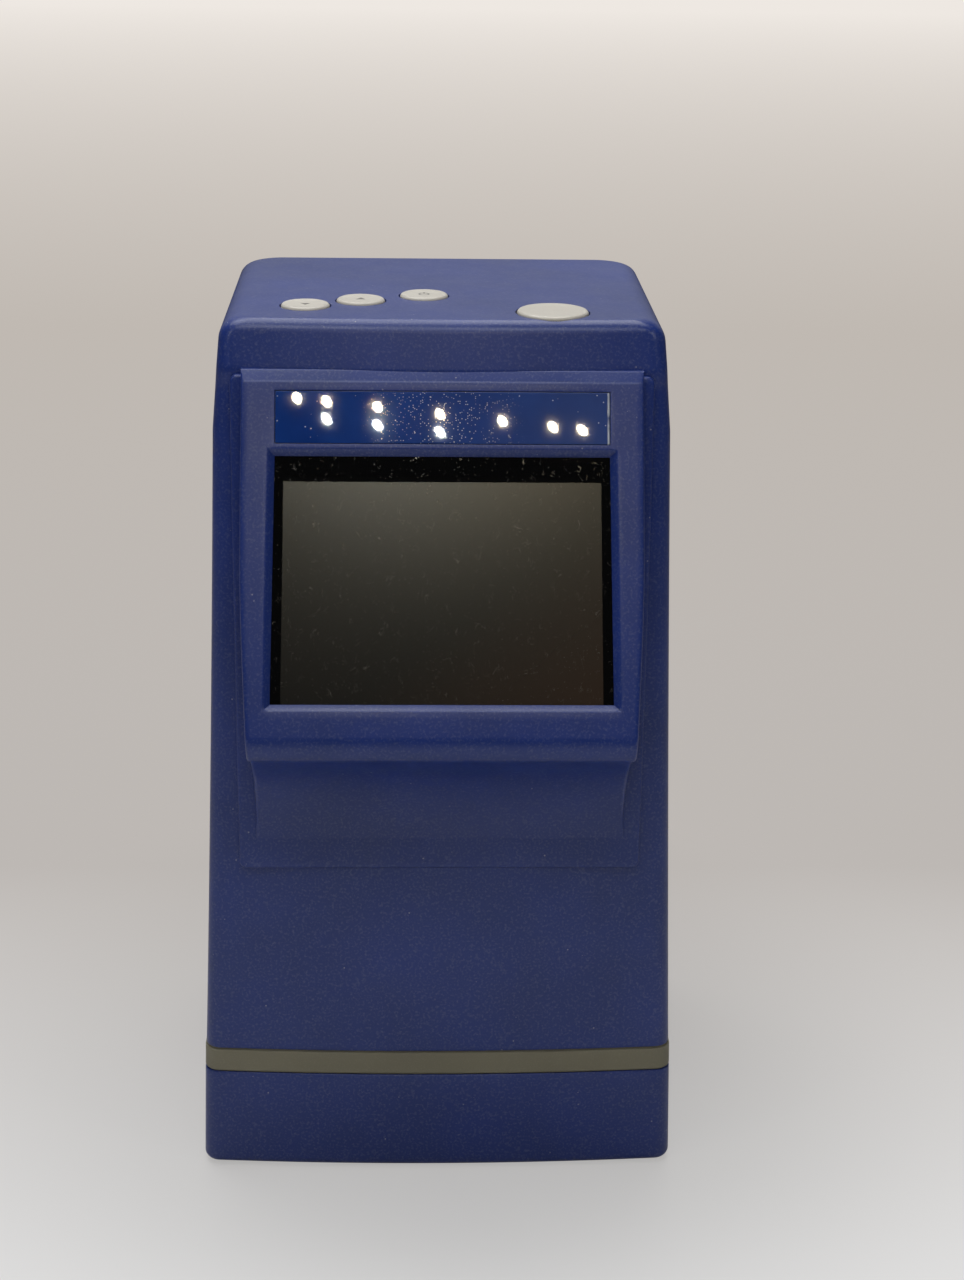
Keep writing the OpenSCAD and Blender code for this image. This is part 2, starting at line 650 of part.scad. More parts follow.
module funnel(grow) {
    hull() {
        translate([0, 0, tunnel_z + plate_t/2])
            cube([tunnel_base.x + 2*grow, tunnel_base.y + 2*grow, eps], center = true);
        translate([0, 0, tunnel_top_z])
            cube([tunnel_top + 2*grow, tunnel_top + 2*grow, eps], center = true);
    }
}
module light_tunnel() color(black_plastic) at_slot(0) difference() {
    union() {
        translate([0, 0, tunnel_z]) round_plate(tunnel_foot.x, tunnel_foot.y, plate_t, 2);
        funnel(0);
        translate([0, 0, tunnel_top_z - plate_t]) round_plate(tunnel_plate, tunnel_plate, plate_t, 2);
        at_corners(post_x, post_x) translate([0, 0, tunnel_top_z - eps])
            cylinder(r = 2.3, h = sensor_z - tunnel_top_z + eps);
    }
    funnel(-tunnel_wall);
    translate([0, 0, tunnel_z - 1]) linear_extrude(plate_t + 1)
        square([tunnel_base.x - 2*tunnel_wall, tunnel_base.y - 2*tunnel_wall], center = true);
    translate([0, 0, tunnel_top_z - plate_t - 2]) cylinder(d = tunnel_top - 3, h = plate_t + 4);
    at_corners(tunnel_foot.x/2 - 2.6, tunnel_foot.y/2 - 2.6) translate([0, 0, tunnel_z - 1])
        cylinder(d = clear_d - 0.2, h = plate_t + 2);
    at_corners(post_x, post_x) translate([0, 0, sensor_z - 6]) cylinder(d = pilot_d - 0.6, h = 7);
}

module tunnel_screws() color(steel) at_slot(tunnel_z + plate_t)
    at_corners(tunnel_foot.x/2 - 2.6, tunnel_foot.y/2 - 2.6) screw(plate_t + 1.2);

// ---- Camera ----
holder_size = 16;
barrel_r = 5.5;
sensor_size = [8.5, 7, 1.3];

module sensor_board() color(board_green) at_slot(sensor_z) difference() {
    translate([-tunnel_plate/2, -tunnel_plate/2, 0]) cube([tunnel_plate, tunnel_plate, board_t]);
    at_corners(post_x, post_x) translate([0, 0, -1]) cylinder(d = shank_d + 0.2, h = board_t + 2);
}
module image_sensor() color("#2a2a30") at_slot(sensor_z - sensor_size.z)
    translate([-sensor_size.x/2, -sensor_size.y/2, 0]) cube(sensor_size);

module lens_holder() color(black_plastic) at_slot(0) difference() {
    union() {
        translate([-holder_size/2, -holder_size/2, sensor_z - 8]) cube([holder_size, holder_size, 8]);
        translate([0, 0, lens_z + 2]) cylinder(r = barrel_r + 1.5, h = sensor_z - lens_z - 6);
    }
    translate([-6, -6, sensor_z - 4]) cube([12, 12, 5]);
    translate([0, 0, lens_z]) cylinder(r = barrel_r + 0.1, h = sensor_z - lens_z - 3);
}
module lens_barrel() color("#101012") at_slot(0) difference() {
    union() {
        translate([0, 0, lens_z]) cylinder(r = barrel_r, h = sensor_z - lens_z - 4.6);
        translate([0, 0, lens_z - 0.6]) cylinder(r = barrel_r + 1, h = 2);
    }
    translate([0, 0, lens_z + 0.8]) cylinder(r = barrel_r - 1.4, h = through);
    translate([0, 0, lens_z - 1]) cylinder(r1 = 3.4, r2 = 2.6, h = 2);
}
// Three glasses with round faces, spaced along the barrel
module lens_elements() color("#9fb7c4") at_slot(0) for (k = [0:2])
    translate([0, 0, lens_z + 1.2 + 2.3*k]) intersection() {
        cylinder(r = barrel_r - 1.5, h = 1.9);
        translate([0, 0, 0.95 + 10.2]) sphere(r = 11.1, $fn = 96);
        translate([0, 0, 0.95 - 10.2]) sphere(r = 11.1, $fn = 96);
    }
module sensor_screws() color(steel) at_slot(sensor_z + board_t) at_corners(post_x, post_x) {
    cylinder(d = head_d - 0.8, h = 1);
    translate([0, 0, -board_t - 5]) cylinder(d = shank_d - 0.6, h = board_t + 5 + eps);
}

// Ribbon between the camera board and the underside of the main board
module sensor_cable() color("#c8c4b8") {
    y0 = slot_y - tunnel_plate/2;
    ribbon(12, flex_t, [[y0 + 4, sensor_z + board_t + flex_t/2], [y0 - 2, sensor_z + board_t + flex_t/2],
        [y0 - 4, sensor_z + board_t + 3], [y0 + 1, main_board_z - flex_t/2], [y0 + 5, main_board_z - flex_t/2]]);
}

// ---- Backlight ----
module diffuser() color("#e9e6de") at_slot(track_z - diffuser_t)
    translate([-light_box_size.x/2, -light_box_size.y/2, 0])
        cube([light_box_size.x, light_box_size.y, diffuser_t]);

module light_box() color("#efefec") at_slot(led_board_z + board_t) difference() {
    translate([-light_box_size.x/2, -light_box_size.y/2, 0])
        cube([light_box_size.x, light_box_size.y, track_z - diffuser_t - led_board_z - board_t]);
    translate([-light_box_size.x/2 + light_box_wall, -light_box_size.y/2 + light_box_wall, -1])
        cube([light_box_size.x - 2*light_box_wall, light_box_size.y - 2*light_box_wall, track_z]);
}
module led_board() color("#e4e4de") at_slot(led_board_z) difference() {
    translate([-led_board_size.x/2, -led_board_size.y/2, 0]) cube([led_board_size.x, led_board_size.y, board_t]);
    at_corners(led_board_size.x/2 - 2.8, led_board_size.y/2 - 2.8) translate([0, 0, -1])
        cylinder(d = clear_d, h = board_t + 2);
}
module leds() color("#f3e9a0") at_slot(led_board_z + board_t)
    for (x = [-14, 0, 14]) for (y = [-6, 6]) translate([x - 1.75, y - 1.4, 0]) cube([3.5, 2.8, 0.9]);
module led_screws() color(steel) at_slot(led_board_z + board_t)
    at_corners(led_board_size.x/2 - 2.8, led_board_size.y/2 - 2.8) screw(board_t + 1.8);

// Wires from the backlight, up behind the film track, to the main board
module led_cable() color("#7a2020") {
    y0 = slot_y + led_board_size.y/2 - 2;
    y1 = slot_y + slot_w/2 + rail_t + 0.55;
    z0 = led_board_z + board_t + wire_t/2;
    translate([8, 0, 0]) ribbon(5, wire_t, [[y0, z0], [y0 + 3, z0], [y1, z0 + 8], [y1, gate_z + gate_t + 1.4],
        [y1 - 4, gate_z + gate_t + 6], [y1 - 4, main_board_z - 14], [main_back_y - 3, main_board_z - 6],
        [main_back_y - 3, main_board_z - wire_t/2]]);
}

// ---- Main board and sockets ----
main_half = 34;
main_front_y = -6;
main_back_y = back_y(main_board_z) - wall - 4.2;
main_screw_x = 31;
main_screw_y = [0, main_back_y - 8];
main_top_z = main_board_z + board_t;
sd_size = [28, 27, 3];
usb_size = [7.7, 9, 4];
av_size = [6.6, 9, 6];
av_z = main_top_z + av_size.z/2;
socket_y = back_y(main_top_z) - 0.8;

module main_board() color(board_green) difference() {
    translate([-main_half, main_front_y, main_board_z])
        cube([2*main_half, main_back_y - main_front_y, board_t]);
    for (x = [-1, 1]) for (y = main_screw_y) translate([x*main_screw_x, y, main_board_z - 1])
        cylinder(d = clear_d, h = board_t + 2);
}
// Packages on the main board: place of the near left corner, and size
chips = [[[4, 6], [14, 14, 1.2]], [[-20, 2], [11, 8, 1]], [[21, 10], [7, 5, 1.1]]];
module main_chips() color("#202024") for (c = chips)
    translate([c[0].x, c[0].y, main_top_z]) cube(c[1]);
// Shell of the card socket with its mouth at the rear
module sd_socket() color(steel) translate([sd_x - sd_size.x/2, socket_y - sd_size.y, main_top_z]) difference() {
    cube(sd_size);
    translate([1.6, 2, 0.4]) cube([sd_size.x - 3.2, sd_size.y, 2.2]);
}
module usb_socket() color(steel) translate([usb_x - usb_size.x/2, socket_y - usb_size.y, main_top_z]) difference() {
    cube(usb_size);
    translate([0.4, 2, 0.4]) cube([usb_size.x - 0.8, usb_size.y, usb_size.z - 0.8]);
}
module av_jack() color(black_plastic) difference() {
    union() {
        translate([av_x - av_size.x/2, socket_y - av_size.y - 2.5, main_top_z]) cube(av_size);
        translate([av_x, socket_y - 3, av_z]) rotate([-90, 0, 0]) cylinder(d = 5.6, h = 3);
    }
    translate([av_x, socket_y + 1, av_z]) rotate([90, 0, 0]) cylinder(d = av_bore_d, h = av_depth + 1);
}
av_depth = 10;

module board_screws() color(steel) for (x = [-1, 1]) for (y = main_screw_y)
    translate([x*main_screw_x, y, main_top_z]) screw(board_t + 4);

// Wires from the key board down to the main board
module key_cable() color("#3a4f9a") {
    y0 = key_board_y[1] - 3;
    translate([-20, 0, 0]) ribbon(6, wire_t, [[y0, key_board_z - wire_t/2], [y0 + 4, key_board_z - 2],
        [y0 + 7, key_board_z - 8], [y0 + 7, main_top_z + 6], [y0 + 5, main_top_z + wire_t/2]]);
}

// ---- Rear cover, in the back's own frame: x across, y up the back, z into the object ----
cover_half = 32;
cover_z = [46, top_z - 18.2];
cover_mid = (cover_z[0] + cover_z[1])/2;
cover_h = cover_z[1] - cover_z[0];
cover_r = 4;
ledge_w = 3;
ledge_t = 1.8;
rear_screw = [cover_half - 4, cover_h/2 - 4];
module on_back() translate([0, back_y(0), 0]) rotate([90 + lean_a, 0, 0]) children();

module rear_cover() color(blue) difference() {
    on_back() translate([0, cover_mid, 0]) difference() {
        round_plate(2*(cover_half - fit_gap), cover_h - 2*fit_gap, wall, cover_r - fit_gap);
        at_corners(rear_screw.x, rear_screw.y) {
            translate([0, 0, -1]) cylinder(d = clear_d, h = 10);
            translate([0, 0, -1]) cylinder(d = head_d + 0.4, h = 1 + head_h);
        }
    }
    translate([0, socket_y - 6, main_top_z]) {
        translate([sd_x - sd_size.x/2 - 0.3, 0, -0.3]) cube([sd_size.x + 0.6, 12, sd_size.z + 0.6]);
        translate([usb_x - usb_size.x/2 - 0.3, 0, -0.3]) cube([usb_size.x + 0.6, 12, usb_size.z + 0.6]);
    }
    translate([av_x, socket_y - 6, av_z]) rotate([-90, 0, 0]) cylinder(d = 6.2, h = 12);
}
module rear_screws() color(steel) on_back() translate([0, cover_mid, head_h]) at_corners(rear_screw.x, rear_screw.y)
    mirror([0, 0, 1]) screw(wall - head_h + 5);

// ---- Casing ----
// Screw columns in the four corners, at the height of the band
function column_x() = half_w(tower_z) - wall - boss_r + 0.3;
function column_y(s) = s < 0 ? front_y(tower_z) + bow_r - sqrt(bow_r*bow_r - pow(column_x(), 2)) + wall + boss_r - 0.7
    : back_y(tower_z) - wall - boss_r + 0.7;
module at_columns(z) for (x = [-1, 1]) for (y = [-1, 1]) translate([x*column_x(), column_y(y), z]) children();
column_up = 11;
column_cut = 9;

module tower_shell() color(blue) difference() {
    union() {
        difference() {
            loft([for (z = tower_levels(tower_z, top_z, 4)) [z, tower_slice(z, 0)]]);
            loft([for (z = concat([tower_z - 1], tower_levels(tower_z, top_z - wall, 3))) [z, tower_slice(z, wall)]]);
        }
        at_columns(tower_z) cylinder(r = boss_r, h = column_up);
        // collars that the insert's screws bear on
        for (x = [-1, 1]) for (z = bezel_boss_z) translate([x*bezel_boss_x, bezel_boss_y(z) + 0.6, z])
            rotate([-90, 0, 0]) cylinder(r = collar_r, h = bezel_boss_len - 0.6);
        // bosses under the top face for the key board
        for (x = [-1, 1]) for (y = key_boss_y) translate([x*key_boss_x, y, key_board_z + board_t])
            cylinder(r = boss_r - 0.3, h = ceiling_z - key_board_z - board_t + 0.5);
        // brackets on the side walls for the main board
        for (x = [-1, 1]) for (y = main_screw_y) {
            outer = half_w(main_board_z) - wall + 0.3;
            inner = main_screw_x - boss_r - 0.4;
            translate([x*(outer + inner)/2, y, main_board_z - 3])
                cube([outer - inner, 2*boss_r + 0.8, 6], center = true);
        }
        // ledge and bosses behind the rear cover
        on_back() translate([0, cover_mid, 0]) {
            translate([0, 0, wall - 0.2]) difference() {
                round_plate(2*(cover_half + ledge_w), cover_h + 2*ledge_w, ledge_t + 0.2, cover_r);
                translate([0, 0, -1]) round_plate(2*(cover_half - ledge_w), cover_h - 2*ledge_w, 5, cover_r);
            }
            at_corners(rear_screw.x, rear_screw.y) translate([0, 0, wall]) cylinder(r = boss_r, h = 6);
        }
    }
    // seat and opening of the screen insert
    front_plate([panel_half[0] + fit_gap, panel_half[1] + fit_gap], panel_z0 - fit_gap, panel_z1 + fit_gap,
        6, panel_sunk + 0.1, 0);
    intersection() {
        front_plate([hood_w, hood_w], face_top_z - 1, hood_top_z + fit_gap, 6, panel_sunk + 0.1, 0);
        hood_front(fit_gap);
    }
    translate([-front_opening[0]/2, tower_front_0 - 10, front_opening[1]])
        cube([front_opening[0], inside_y - tower_front_0 + 10, front_opening[2] - front_opening[1]]);
    for (x = [-1, 1]) for (z = bezel_boss_z) translate([x*bezel_boss_x, tower_front_0 - 10, z])
        rotate([-90, 0, 0]) cylinder(r = boss_r, h = inside_y - tower_front_0 + 10);
    // film slot through both sides
    at_slot(slot_z + slot_h/2) across(2*tower_w) round_rect(slot_w, slot_h, 1);
    // key holes
    for (i = [0:3]) translate([key_places[i].x, key_places[i].y, 0]) {
        translate([0, 0, ceiling_z - 1]) cylinder(r = key_sizes[i]/2 + key_gap, h = wall + 5);
        translate([0, 0, key_stem_z]) cylinder(r = key_sizes[i]/2 + key_flange + 0.4, h = ceiling_z - key_stem_z);
    }
    // rear opening
    on_back() translate([0, cover_mid, -5]) round_plate(2*cover_half, cover_h, wall + 5, cover_r);
    // pilot holes
    at_columns(tower_z - 1) cylinder(d = pilot_d, h = column_cut + 1);
    for (x = [-1, 1]) for (y = key_boss_y) translate([x*key_boss_x, y, key_board_z])
        cylinder(d = pilot_d, h = board_t + 4.6);
    for (x = [-1, 1]) for (y = main_screw_y) translate([x*main_screw_x, y, main_board_z - 5])
        cylinder(d = pilot_d, h = 6);
    on_back() translate([0, cover_mid, wall - 1]) at_corners(rear_screw.x, rear_screw.y)
        cylinder(d = pilot_d, h = 6.4);
}

module bezel_screws() color(steel) for (x = [-1, 1]) for (z = bezel_boss_z)
    translate([x*bezel_boss_x, bezel_boss_y(z) + bezel_boss_len, z]) rotate([-90, 0, 0]) {
        cylinder(r = collar_r - 0.4, h = 1);
        translate([0, 0, 0.5 - bezel_boss_len]) cylinder(d = shank_d, h = bezel_boss_len - 0.5 + eps);
    }

// Band with a shadow groove above and below
module trim_band() color(band_grey) difference() {
    loft([for (s = [[base_top_z, groove_in], [base_top_z + groove, groove_in], [base_top_z + groove, 0],
            [tower_z - groove, 0], [tower_z - groove, groove_in], [tower_z, groove_in]])
        [s[0], base_slice(s[0], s[1])]]);
    loft([for (z = [base_top_z - 1, tower_z + 1]) [z, tower_slice(z, wall)]]);
}

// Base: floor, walls, locating lip, columns, pillars of the film track, feet recesses
lip_gap = 0.2;
lip_t = 1.2;
lip_top_z = tower_z + 0.5;
lip_low_z = base_top_z - 4;
foot_r = 5;
foot_seat = 0.8;
foot_x = 28;
foot_y = 25;
base_inside_z = base_bottom_z + floor_t;
screw_head_z = tower_z - 10;
column_r = boss_r + 0.4;
module base_shell() color(blue) difference() {
    union() {
        difference() {
            loft(concat(
                [for (a = [0:18:90]) let (z = base_bottom_z + base_edge_r*(1 - cos(a)))
                    [z, base_slice(z, base_edge_r*(1 - sin(a)))]],
                [[base_top_z, base_slice(base_top_z, 0)]]));
            loft([for (z = [base_inside_z, base_top_z + 1]) [z, base_slice(z, base_wall)]]);
        }
        outline_ring(lip_low_z, base_top_z, wall - 0.8, wall + lip_gap + lip_t);
        outline_ring(base_top_z - eps, lip_top_z, wall + lip_gap, wall + lip_gap + lip_t);
        at_columns(base_inside_z - eps) cylinder(r = column_r, h = base_top_z - base_inside_z + eps);
        // inside the band the columns keep to the lip's outline
        intersection() {
            at_columns(base_top_z - eps) cylinder(r = column_r, h = band_h + eps);
            loft([for (z = [base_top_z - 1, tower_z + 1]) [z, tower_slice(z, wall + lip_gap)]]);
        }
        at_slot(base_inside_z - eps) {
            at_corners(gate_screw_x, rail_y) cylinder(r = pillar_r, h = track_z - base_inside_z + eps);
            at_corners(led_board_size.x/2 - 2.8, led_board_size.y/2 - 2.8)
                cylinder(r = pillar_r, h = led_board_z - base_inside_z + eps);
        }
    }
    // the tower's columns stand in gaps of the lip
    at_columns(tower_z) cylinder(r = boss_r + 0.3, h = lip_top_z);
    // case screws: clearance above, head room below
    at_columns(base_bottom_z - 1) cylinder(d = clear_d, h = tower_z + 1);
    at_columns(base_bottom_z - 1) cylinder(d = head_d + 0.6, h = screw_head_z - base_bottom_z + 1);
    at_slot(track_z - 7) at_corners(gate_screw_x, rail_y) cylinder(d = pilot_d, h = 8);
    at_slot(led_board_z - 2.4) at_corners(led_board_size.x/2 - 2.8, led_board_size.y/2 - 2.8)
        cylinder(d = pilot_d, h = 4);
    at_slot(base_bottom_z - 1) at_corners(foot_x, foot_y) cylinder(r = foot_r + fit_gap, h = 1 + foot_seat);
}

module rubber_feet() color("#1c1c1c") at_slot(0) at_corners(foot_x, foot_y) rotate_extrude() {
    square([foot_r - 0.4, foot_seat + foot_proud]);
    translate([0, 0.4]) square([foot_r, foot_seat + foot_proud - 0.4]);
    translate([foot_r - 0.4, 0.4]) circle(0.4);
}

module case_screws() color(steel) at_columns(screw_head_z) mirror([0, 0, 1])
    screw(tower_z - screw_head_z + column_cut - 0.6);

base_shell();
trim_band();
tower_shell();
rear_cover();
screen_bezel();
gloss_strip();
screen_window();
lcd_panel();
lcd_frame();
lcd_flex();
left_button();
right_button();
power_button();
ok_button();
left_plunger();
right_plunger();
power_plunger();
ok_plunger();
switch_bodies();
key_board();
key_cable();
main_board();
main_chips();
sd_socket();
usb_socket();
av_jack();
sensor_board();
image_sensor();
lens_holder();
lens_barrel();
lens_elements();
sensor_cable();
light_tunnel();
film_gate();
film_track();
track_spring();
diffuser();
light_box();
led_board();
leds();
led_cable();
rubber_feet();
case_screws();
rear_screws();
bezel_screws();
gate_screws();
tunnel_screws();
board_screws();
key_screws();
led_screws();
lcd_screws();
sensor_screws();
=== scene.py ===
import math
import bpy
import numpy as np
from mathutils import Matrix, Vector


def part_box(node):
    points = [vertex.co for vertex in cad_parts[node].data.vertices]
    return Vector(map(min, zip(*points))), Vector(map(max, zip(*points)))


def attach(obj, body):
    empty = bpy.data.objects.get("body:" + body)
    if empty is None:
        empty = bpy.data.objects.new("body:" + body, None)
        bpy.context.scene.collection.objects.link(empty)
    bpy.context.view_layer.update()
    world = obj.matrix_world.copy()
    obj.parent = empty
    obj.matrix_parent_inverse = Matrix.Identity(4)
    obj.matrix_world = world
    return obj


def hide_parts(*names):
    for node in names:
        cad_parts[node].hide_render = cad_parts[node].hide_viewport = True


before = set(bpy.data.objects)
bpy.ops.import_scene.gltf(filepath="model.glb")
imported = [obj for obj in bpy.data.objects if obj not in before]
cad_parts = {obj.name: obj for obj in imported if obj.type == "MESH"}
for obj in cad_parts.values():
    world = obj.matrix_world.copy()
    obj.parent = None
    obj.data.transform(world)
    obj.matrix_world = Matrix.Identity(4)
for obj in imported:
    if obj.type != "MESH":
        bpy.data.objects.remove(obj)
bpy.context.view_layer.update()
print("frame loaded")

mm = 0.001
sharp = math.radians(35)
# radius that stands in for a point on the axis of a turned shape
tip = 0.001


def makeObject(name, points, faces, sharpAngle=sharp):
    mesh = bpy.data.meshes.new(name)
    mesh.from_pydata((np.asarray(points) * mm).tolist(), [], faces)
    mesh.validate()
    mesh.shade_smooth()
    mesh.set_sharp_from_angle(angle=sharpAngle)
    piece = bpy.data.objects.new(name, mesh)
    bpy.context.scene.collection.objects.link(piece)
    return piece


# a grid of points becomes quads; closed joins the last column to the first
def gridFaces(rows, cols, closed=False, start=0, flip=False):
    j = np.arange(rows - 1)[:, None]
    i = np.arange(cols if closed else cols - 1)[None, :]
    a = j * cols + i
    b = j * cols + (i + 1) % cols
    quads = np.stack([a, b, b + cols, a + cols], -1).reshape(-1, 4) + start
    return (quads[:, ::-1] if flip else quads).tolist()


# stacked closed loops of points (k, n, 3), as one tube with caps where asked
def tubeOf(loops, capFirst=False, capLast=False, start=0, flip=False):
    k, n = loops.shape[:2]
    faces = gridFaces(k, n, True, start, flip)
    ring = list(range(start, start + n))
    if capFirst:
        faces.append(ring if flip else ring[::-1])
    if capLast:
        last = [i + (k - 1) * n for i in ring]
        faces.append(last[::-1] if flip else last)
    return loops.reshape(-1, 3), faces


def joinParts(parts):
    points, faces, start = [], [], 0
    for p, f in parts:
        points.append(np.asarray(p).reshape(-1, 3))
        faces += [[i + start for i in face] for face in f]
        start += len(points[-1])
    return np.concatenate(points), faces


# the cut is worked into the mesh, so that the piece is plain geometry
def cutAway(piece, cutters):
    for cutter in cutters:
        boolean = piece.modifiers.new("cut", "BOOLEAN")
        boolean.operation = "DIFFERENCE"
        boolean.solver = "EXACT"
        boolean.object = cutter
    graph = bpy.context.evaluated_depsgraph_get()
    mesh = bpy.data.meshes.new_from_object(piece.evaluated_get(graph))
    piece.modifiers.clear()
    piece.data = mesh
    mesh.shade_smooth()
    mesh.set_sharp_from_angle(angle=sharp)
    for cutter in cutters:
        bpy.data.objects.remove(cutter)


# angles from 0 to 90 degrees in even steps
def quarterTurn(steps):
    return np.linspace(0, math.pi / 2, steps + 1)


# round edge: how far it has come off the wall and how far it still is from its end
def roundEdge(r, steps):
    return [(r * (1 - math.cos(a)), r * (1 - math.sin(a))) for a in quarterTurn(steps)]


def circle(x, y, r, count):
    a = np.linspace(0, 2 * math.pi, count + 1)[:-1]
    return np.column_stack([x + r * np.cos(a), y + r * np.sin(a)])


# rectangle or trapezoid with round corners, counter-clockwise from the lower left:
# each corner is a quarter arc, each side a row of even steps
def roundQuad(lowHalf, highHalf, low, high, radius, sideSteps=8):
    centres = [(-lowHalf + radius, low + radius), (lowHalf - radius, low + radius),
               (highHalf - radius, high - radius), (-highHalf + radius, high - radius)]
    arcs = []
    for k, (cx, cz) in enumerate(centres):
        a = math.pi * (1 + k / 2) + quarterTurn(6)
        arcs.append(np.stack([cx + radius * np.cos(a), cz + radius * np.sin(a)], -1))
    rows = []
    for k in range(4):
        rows.append(arcs[k])
        f = np.linspace(0, 1, sideSteps + 1)[1:-1, None]
        rows.append(arcs[k][-1] * (1 - f) + arcs[(k + 1) % 4][0] * f)
    return np.concatenate(rows)


# straight block between two levels of one axis, from a closed outline in the other two
def blockAlong(axis, outline, levels):
    loops = [np.insert(outline, axis, level, axis=1) for level in levels]
    return tubeOf(np.stack(loops), True, True)


# outline of the body, from the same values as the part's source
body = {
    "topZ": 158.2, "bandTop": 24.9, "baseTop": 20.1, "bottom": 0.6, "wall": 2.0,
    "shoulderW": 78.6, "shoulderH": 19.0, "shoulderLean": 4.5, "sideLean": 3.5, "sideHollow": 0.34,
    "sideEdge": 4.0, "frontEdge": 2.0, "frontRoll": 1.8, "backEdge": 3.0, "backEdgeH": 3.9,
    "brow": 0.6, "browFrom": 146.0, "browH": 4.3, "browLean": 0.165,
    "frontCorner": 3.0, "backCorner": 5.0, "leastCorner": 0.8,
    "frontR": 1060.0, "bowR": 556.0, "backLean": 3.6, "depth": 75.5,
    "step": 0.1, "draft": 0.6, "baseEdge": 1.6, "groove": 0.3, "grooveIn": 0.4,
}
hood = {
    "tilt": math.radians(22.6), "faceTop": 148.6, "faceProud": 1.8, "faceLen": 59.7, "lipR": 5.0,
    "lipTurn": math.radians(34), "scoopH": 21.5, "halfW": 34.05, "draw": 1.45, "topZ": 150.3,
    "edge": 0.65, "panelLow": 5.7, "panelTop": 149.3, "panelHalf": (35.65, 36.0), "panelCorner": 1.3,
    "panelProud": 0.4, "panelEdge": 0.45, "seam": 0.15,
}
outlineSteps = {"corner": 10, "bow": 40, "side": 16, "back": 20}
reach = (-hood["faceTop"] ** 2 / (2 * body["frontR"]) + hood["faceProud"]
         + hood["faceLen"] * math.sin(hood["tilt"]) + hood["lipR"] * (1 - math.cos(hood["tilt"])))
backAtGround = (reach + body["depth"] + body["step"]) / 2 - body["step"]
frontAtGround = backAtGround - body["depth"]
kinkZ = body["topZ"] - body["shoulderH"]
lean = math.radians(body["shoulderLean"])
edgeZ = body["topZ"] - body["sideEdge"] * (1 - math.sin(lean))
edgeX = body["shoulderW"] / 2 - (edgeZ - kinkZ) * math.tan(lean) - body["sideEdge"] * math.cos(lean)


def frontY(z):
    return frontAtGround + z * z / (2 * body["frontR"])


def backY(z):
    return backAtGround - body["backLean"] * (z - body["bottom"] - body["baseEdge"]) / body["topZ"]


# ellipse quarter over the last h below the top, a wide
def rollIn(z, h, a):
    up = np.clip((z - body["topZ"] + h) / h, 0, 1)
    return a * (1 - np.sqrt(1 - up * up))


# hollow sides up to the shoulders, then a straight lean and a round edge
def halfWidth(z):
    f = (kinkZ - z) / (kinkZ - body["bandTop"])
    hollow = body["sideHollow"]
    low = body["shoulderW"] / 2 + body["sideLean"] * (f * (1 - hollow) + f * f * hollow)
    mid = body["shoulderW"] / 2 - (z - kinkZ) * math.tan(lean)
    up = np.clip(z - body["topZ"] + body["sideEdge"], 0, body["sideEdge"])
    high = edgeX + np.sqrt(body["sideEdge"] ** 2 - up * up)
    return np.where(z <= kinkZ, low, np.where(z <= edgeZ, mid, high))


# level outlines, drawn in by an inset: a bowed front, tangent corner arcs, straight sides and back
def levelOutlines(z, half, yFront, yBack, inset):
    corners = [np.maximum(body[k] - inset, body["leastCorner"]) for k in ("frontCorner", "backCorner")]
    values = (z, half - inset, yFront + inset, yBack - inset, *corners)
    z, half, yFront, yBack, rFront, rBack = (np.broadcast_to(np.asarray(v, float), z.shape)[:, None]
                                             for v in values)
    fx = half - rFront
    bow = body["bowR"]
    cy = yFront + bow - np.sqrt((bow - rFront) ** 2 - fx * fx)
    phi = np.arcsin(fx / (bow - rFront))
    corner = np.linspace(0, 1, outlineSteps["corner"] + 1)[None, :]
    along, side, back = (np.linspace(0, 1, outlineSteps[k] + 1)[None, 1:-1] for k in ("bow", "side", "back"))
    a = math.pi + corner * (math.pi / 2 - phi)
    x1, y1 = -fx + rFront * np.cos(a), cy + rFront * np.sin(a)
    a = 1.5 * math.pi - phi + 2 * phi * along
    x2, y2 = bow * np.cos(a), yFront + bow + bow * np.sin(a)
    q = corner * math.pi / 2
    x3 = np.concatenate([half + 0 * side, half - rBack + rBack * np.cos(q)], 1)
    y3 = np.concatenate([cy + (yBack - rBack - cy) * side, yBack - rBack + rBack * np.sin(q)], 1)
    x4 = (half - rBack) * (1 - 2 * back)
    x = np.concatenate([x1, x2, -x1[:, ::-1], x3, x4, -x3[:, ::-1]], 1)
    y = np.concatenate([y1, y2, y1[:, ::-1], y3, yBack + 0 * x4, y3[:, ::-1]], 1)
    return np.stack([x, y, np.broadcast_to(z, x.shape)], -1)


faceTopY = frontY(hood["faceTop"]) - hood["faceProud"]


# point of the screen face's own frame: t down the slope, d into the object
def facePoint(t, d):
    return np.array([faceTopY - t * math.sin(hood["tilt"]) + d * math.cos(hood["tilt"]),
                     hood["faceTop"] - t * math.cos(hood["tilt"]) - d * math.sin(hood["tilt"])])


lipC = facePoint(hood["faceLen"], hood["lipR"])
creasePoint = lipC - hood["lipR"] * np.array([math.cos(hood["lipTurn"]), math.sin(hood["lipTurn"])])
scoopZ = creasePoint[1] - hood["scoopH"]
scoopY = frontY(scoopZ) - hood["panelProud"]
scoopR = ((scoopY - creasePoint[0]) ** 2 + hood["scoopH"] ** 2) / (2 * (scoopY - creasePoint[0]))
panelZ = (scoopZ - hood["panelLow"], hood["panelTop"])
drawZ = (facePoint(hood["faceLen"] / 2, 0)[1], creasePoint[1] - 2 * hood["lipR"])


# above the hood the front leans back more, and the top rolls over its front edge on a flat ellipse
def towerFront(z):
    up = np.clip((z - body["browFrom"]) / body["browH"], 0, 1)
    leaned = body["browLean"] * np.clip(z - hood["topZ"], 0, None)
    return frontY(z) - body["brow"] * up * up * (3 - 2 * up) + leaned


